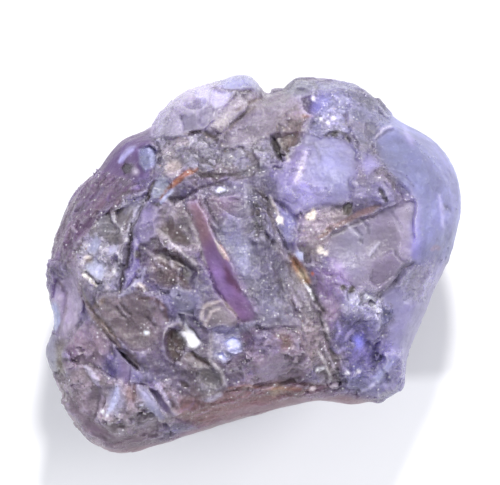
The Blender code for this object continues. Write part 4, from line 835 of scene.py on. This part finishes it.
BROAD_BLEND_ROUNDS = 12
CHIP_BLEND_ROUNDS = 2
colour = np.tile(pigment("76688c"), (len(skin), 1))
clear = np.full(len(skin), 0.40)
gloss = np.full(len(skin), 0.60)
film = np.full(len(skin), 0.30)
pattern = noise_field(3.5, 3)[:, 0]
upper_part = ease(GIRDLE - 2.4, GIRDLE - 0.2, skin[:, 2] + 1.5 * pattern)
colour += ease(0.0, 0.5, pattern)[:, None] * (pigment("746a94") - colour)
colour += ease(0.0, 0.5, -pattern)[:, None] * (pigment("7c6c74") - colour)


def stain_faces(small, strength):
    """Gives the small faces, or the rest, their colours and their gloss."""
    for (_, code, _, _, clearness, shine, stain, _, path), share in zip(FACES, shares):
        if is_small(path) == small:
            share = strength * share * (0.2 + 0.8 * seen) * (0.25 + 0.75 * upper_part)
            colour[:] += share[:, None] * (pigment(code) - colour)
            for values, value in ((clear, clearness), (gloss, shine), (film, stain)):
                values += share * (value - values)


stain_faces(small=False, strength=1.0)
for _ in range(BROAD_BLEND_ROUNDS):
    colour = neighbour_mean(colour)
stain_faces(small=True, strength=0.9)
for _ in range(CHIP_BLEND_ROUNDS):
    colour = neighbour_mean(colour)
facet = (np.clip(grain, 0.15, 0.8) * (0.4 + 0.6 * seen))[:, None]
colour += facet * ease(0.1, 0.9, tint)[:, None] * 0.4 * (pigment("8880b8") - colour)
colour += facet * ease(0.1, 0.9, -tint)[:, None] * 0.5 * (pigment("867470") - colour)
colour *= 1.0 + 0.45 * facet * tone[:, None]
for (code, _, strength, _, _), share in zip(LINES, line_shares):
    share = strength * share * crown
    colour += share[:, None] * (pigment(code) - colour)
    clear *= 1.0 - 0.8 * share
    film *= 1.0 - share
for code, radius, place in SPOTS:
    away = np.linalg.norm(skin[:, :2] + 0.1 * fine_wander[:, :2] - place, axis=1)
    share = np.clip(1.0 + (radius - away) / SKIN_QUAD, 0.0, 1.0) * crown
    colour += share[:, None] * (pigment(code) - colour)
    clear *= 1.0 - share
    film *= 1.0 - share

facing = outward()
level = skin.copy()
for _ in range(3):
    level = neighbour_mean(level)
hollow = np.einsum("ij,ij->i", level - skin, facing) * above_base
ridge = ease(0.008, 0.045, -hollow)
crease_shade = ease(0.006, 0.045, hollow)
# Painted highlight: the ridges are lightened; the raised gloss on them is real shine.
colour += (0.24 * ridge)[:, None] * (pigment("c8c4d4") - colour)
gloss = np.maximum(gloss, 0.9 * ridge)
# Painted shade: the hollows are darkened.
colour += (0.20 * crease_shade)[:, None] * (pigment("4a4048") - colour)
edge_glow = ease(0.30, 0.05, facing[:, 2]) * ease(-0.10, 0.05, facing[:, 2]) * upper_part
colour += (0.35 * edge_glow * shares[0])[:, None] * (pigment("a6b8ee") - colour)

stored = skin_mesh.color_attributes.new("stone_colour", "FLOAT_COLOR", "POINT")
stored.data.foreach_set("color", np.column_stack([colour, np.ones(len(skin))]).ravel())
for name, values in (("clear", clear), ("gloss", gloss), ("film", film), ("grain", grain)):
    layer = skin_mesh.attributes.new(name, "FLOAT", "POINT")
    layer.data.foreach_set("value", values)


# The material
# Translucent silicate with a glassy skin. Part of the light goes through it and takes up the
# violet of the body, and part comes back from the milky grain just under the skin.

stuff = bpy.data.materials.new("tanzanite")
stuff.use_nodes = True
tree = stuff.node_tree
shader = tree.nodes["Principled BSDF"]
ending = tree.nodes["Material Output"]


def node(kind, **settings):
    """A new node with its plain sockets and its settings filled in."""
    made = tree.nodes.new(kind)
    for key, value in settings.items():
        if key in made.inputs:
            made.inputs[key].default_value = value
        else:
            setattr(made, key, value)
    return made


def attribute(name, output="Fac"):
    return node("ShaderNodeAttribute", attribute_name=name).outputs[output]


def value_of(operation, first, second=None, third=None):
    """The result of a sum on values or sockets."""
    made = node("ShaderNodeMath", operation=operation)
    for place, given in enumerate((first, second, third)):
        if given is None:
            continue
        if isinstance(given, (int, float)):
            made.inputs[place].default_value = given
        else:
            tree.links.new(given, made.inputs[place])
    return made.outputs[0]


def between(source, low, high, start=0.0, end=1.0):
    """The socket's run from low to high, spread from start to end."""
    made = node("ShaderNodeMapRange")
    for key, given in (("From Min", low), ("From Max", high), ("To Min", start), ("To Max", end)):
        made.inputs[key].default_value = given
    tree.links.new(source, made.inputs["Value"])
    return made.outputs[0]


def mixed(factor, first, second, how="MIX"):
    """Two colours laid over one another."""
    made = node("ShaderNodeMix", data_type="RGBA", blend_type=how)
    for key, given in ((0, factor), (6, first), (7, second)):
        if isinstance(given, (int, float, tuple)):
            made.inputs[key].default_value = given
        else:
            tree.links.new(given, made.inputs[key])
    return made.outputs[2]


where = node("ShaderNodeTexCoord").outputs["Object"]


def grainy(scale, detail=5.0, roughness=0.6):
    made = node("ShaderNodeTexNoise", Scale=scale, Detail=detail, Roughness=roughness)
    tree.links.new(where, made.inputs["Vector"])
    return made.outputs["Fac"]


def shards(size, hollow, lean, vector):
    """Small hollow faces in the skin, each leaning its own way, and the colour that tells them apart."""
    cell = node("ShaderNodeTexVoronoi", Scale=1000.0 / size)
    tree.links.new(vector, cell.inputs["Vector"])
    offset = node("ShaderNodeVectorMath", operation="SUBTRACT")
    tree.links.new(vector, offset.inputs[0])
    tree.links.new(cell.outputs["Position"], offset.inputs[1])
    dice = node("ShaderNodeVectorMath", operation="SUBTRACT")
    dice.inputs[1].default_value = (0.5, 0.5, 0.5)
    tree.links.new(cell.outputs["Color"], dice.inputs[0])
    tilt = node("ShaderNodeVectorMath", operation="DOT_PRODUCT")
    tree.links.new(dice.outputs[0], tilt.inputs[0])
    tree.links.new(offset.outputs[0], tilt.inputs[1])
    bowl = node("ShaderNodeVectorMath", operation="DOT_PRODUCT")
    tree.links.new(offset.outputs[0], bowl.inputs[0])
    tree.links.new(offset.outputs[0], bowl.inputs[1])
    depth = value_of("MULTIPLY", bowl.outputs["Value"], 1000.0 * hollow / size)
    return value_of("MULTIPLY_ADD", tilt.outputs["Value"], lean, depth), cell.outputs["Color"]


split = node("ShaderNodeMapping")
split.inputs["Rotation"].default_value = (0.0, 0.0, math.radians(-SPLIT_WAY))
split.inputs["Scale"].default_value = (0.45, 1.0, 1.0)
tree.links.new(where, split.inputs["Vector"])
shove = node("ShaderNodeTexNoise", Scale=900.0, Detail=2.0)
tree.links.new(split.outputs["Vector"], shove.inputs["Vector"])
bent = node("ShaderNodeVectorMath", operation="MULTIPLY_ADD")
bent.inputs[1].default_value = (0.0005, 0.0005, 0.0005)
tree.links.new(shove.outputs["Color"], bent.inputs[0])
tree.links.new(split.outputs["Vector"], bent.inputs[2])
large, large_colour = shards(0.80, 0.28, 0.34, bent.outputs[0])
middling, middling_colour = shards(0.36, 0.25, 0.45, bent.outputs[0])
flakes, flake_colour = shards(0.14, 0.0, 0.6, where)
flake_dice = node("ShaderNodeSeparateColor")
tree.links.new(flake_colour, flake_dice.inputs["Color"])

mottle = grainy(1100.0, 6.0, 0.7)
veil = grainy(260.0, 3.0, 0.6)
cloud = grainy(420.0, 4.0, 0.6)
body = attribute("stone_colour", "Color")
speck = node("ShaderNodeTexVoronoi", Scale=4500.0)
tree.links.new(where, speck.inputs["Vector"])
speck_dice = node("ShaderNodeSeparateColor")
tree.links.new(speck.outputs["Color"], speck_dice.inputs["Color"])
speck_here = value_of("MULTIPLY", between(speck.outputs["Distance"], 0.34, 0.18), attribute("grain"))
body = mixed(between(mottle, 0.38, 0.62), body, (0.80, 0.78, 0.82, 1.0), "MULTIPLY")
body = mixed(between(veil, 0.42, 0.66), body, (1.36, 1.34, 1.46, 1.0), "MULTIPLY")
brown = value_of("MULTIPLY", between(cloud, 0.48, 0.66), attribute("film"))
body = mixed(value_of("MULTIPLY", brown, 0.8), body, (0.16, 0.13, 0.115, 1.0))
for cells, share in ((large_colour, 0.16), (middling_colour, 0.26), (flake_colour, 0.30)):
    lightness = node("ShaderNodeSeparateColor")
    tree.links.new(cells, lightness.inputs["Color"])
    lightness = between(lightness.outputs["Green"], 0.0, 1.0, -share, share)
    lightness = value_of("MULTIPLY_ADD", lightness, attribute("grain"), 1.0)
    body = mixed(1.0, body, lightness, "MULTIPLY")
# The white specks are painted sparkles; the brown and the near-black specks are rust and dark grains.
for channel, rarity, strength, speck_colour in (
    ("Red", 0.90, 1.5, (0.92, 0.90, 0.95, 1.0)),
    ("Green", 0.985, 0.8, (0.46, 0.28, 0.22, 1.0)),
    ("Blue", 0.95, 0.9, (0.05, 0.035, 0.045, 1.0)),
):
    chosen = value_of("GREATER_THAN", speck_dice.outputs[channel], rarity)
    chosen = value_of("MULTIPLY", chosen, value_of("MULTIPLY", speck_here, strength))
    body = mixed(value_of("MINIMUM", chosen, 0.9), body, speck_colour)
tree.links.new(body, shader.inputs["Base Color"])

glassy = value_of("GREATER_THAN", flake_dice.outputs["Red"], 0.6)
glassy = value_of("MULTIPLY", glassy, attribute("grain"))
shine = between(attribute("gloss"), 0.0, 1.0, 0.50, 0.14)
shine = value_of("ADD", shine, between(mottle, 0.3, 0.7, -0.04, 0.08))
shine = value_of("SUBTRACT", shine, value_of("MULTIPLY", glassy, 0.2))
tree.links.new(value_of("MAXIMUM", shine, 0.1), shader.inputs["Roughness"])
tree.links.new(attribute("clear"), shader.inputs["Transmission Weight"])
shader.inputs["IOR"].default_value = 1.69
shader.inputs["Specular IOR Level"].default_value = 0.3
shader.inputs["Subsurface Weight"].default_value = 0.6
shader.inputs["Subsurface Radius"].default_value = (0.8, 0.7, 1.0)
shader.inputs["Subsurface Scale"].default_value = 0.0015

relief = value_of("ADD", value_of("ADD", large, middling), value_of("MULTIPLY", flakes, 0.8))
relief = value_of("MULTIPLY", relief, attribute("grain"))
relief = value_of("ADD", relief, value_of("MULTIPLY", grainy(2600.0, 5.0), 0.00009))
bump = node("ShaderNodeBump", Strength=1.0, Distance=1.0)
tree.links.new(relief, bump.inputs["Height"])
tree.links.new(bump.outputs["Normal"], shader.inputs["Normal"])

absorbing = node("ShaderNodeVolumeAbsorption", Density=80.0)
absorbing.inputs["Color"].default_value = (0.46, 0.40, 0.78, 1.0)
tree.links.new(absorbing.outputs["Volume"], ending.inputs["Volume"])

skin_mesh.materials.clear()
skin_mesh.materials.append(stuff)
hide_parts("tanzanite_crystal")
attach(lump, "root")


# The table
# A plain, pale, level top under the stone, wide enough to fill every view.

table_mesh = bpy.data.meshes.new("table")
bm = bmesh.new()
bmesh.ops.create_grid(bm, x_segments=1, y_segments=1, size=1.5)
bm.to_mesh(table_mesh)
bm.free()
table = bpy.data.objects.new("table", table_mesh)
bpy.context.scene.collection.objects.link(table)
pale = bpy.data.materials.new("pale_table")
pale.use_nodes = True
pale.node_tree.nodes["Principled BSDF"].inputs["Base Color"].default_value = (0.86, 0.86, 0.88, 1)
pale.node_tree.nodes["Principled BSDF"].inputs["Roughness"].default_value = 0.7
table_mesh.materials.append(pale)


# Light and camera
# A white room gives soft light from all round. A large soft lamp and two smaller ones make the
# glints on the small faces. The camera hangs straight over the stone on a long lens.

room = bpy.data.worlds.new("white room")
bpy.context.scene.world = room
room.use_nodes = True
room.node_tree.nodes["Background"].inputs["Color"].default_value = (0.93, 0.95, 1.0, 1.0)
room.node_tree.nodes["Background"].inputs["Strength"].default_value = 0.58


def lamp(name, place, size, power, light_colour):
    """Hangs a round lamp that shines at the stone."""
    light = bpy.data.lights.new(name, "AREA")
    light.shape = "DISK"
    light.size = size
    light.energy = power
    light.color = light_colour
    hung = bpy.data.objects.new(name, light)
    hung.location = place
    hung.rotation_euler = Vector(place).to_track_quat("Z", "Y").to_euler()
    bpy.context.scene.collection.objects.link(hung)


lamp("key", (0.02, 0.30, 0.32), 0.05, 1.6, (1.0, 0.99, 0.97))
lamp("soft right", (0.38, 0.10, 0.30), 0.26, 1.2, (1.0, 1.0, 1.0))
lamp("small left", (-0.22, -0.08, 0.40), 0.05, 0.7, (0.97, 0.98, 1.0))

lens = bpy.data.cameras.new("camera")
lens.sensor_width = 36.0
lens.lens = 518.4
lens.clip_start = 0.01
lens.clip_end = 10.0
camera = bpy.data.objects.new("camera", lens)
camera.location = (-0.00019, 0.00128, 0.45 + GIRDLE * MM)
bpy.context.scene.collection.objects.link(camera)
bpy.context.scene.camera = camera
bpy.context.scene.view_settings.view_transform = "Standard"
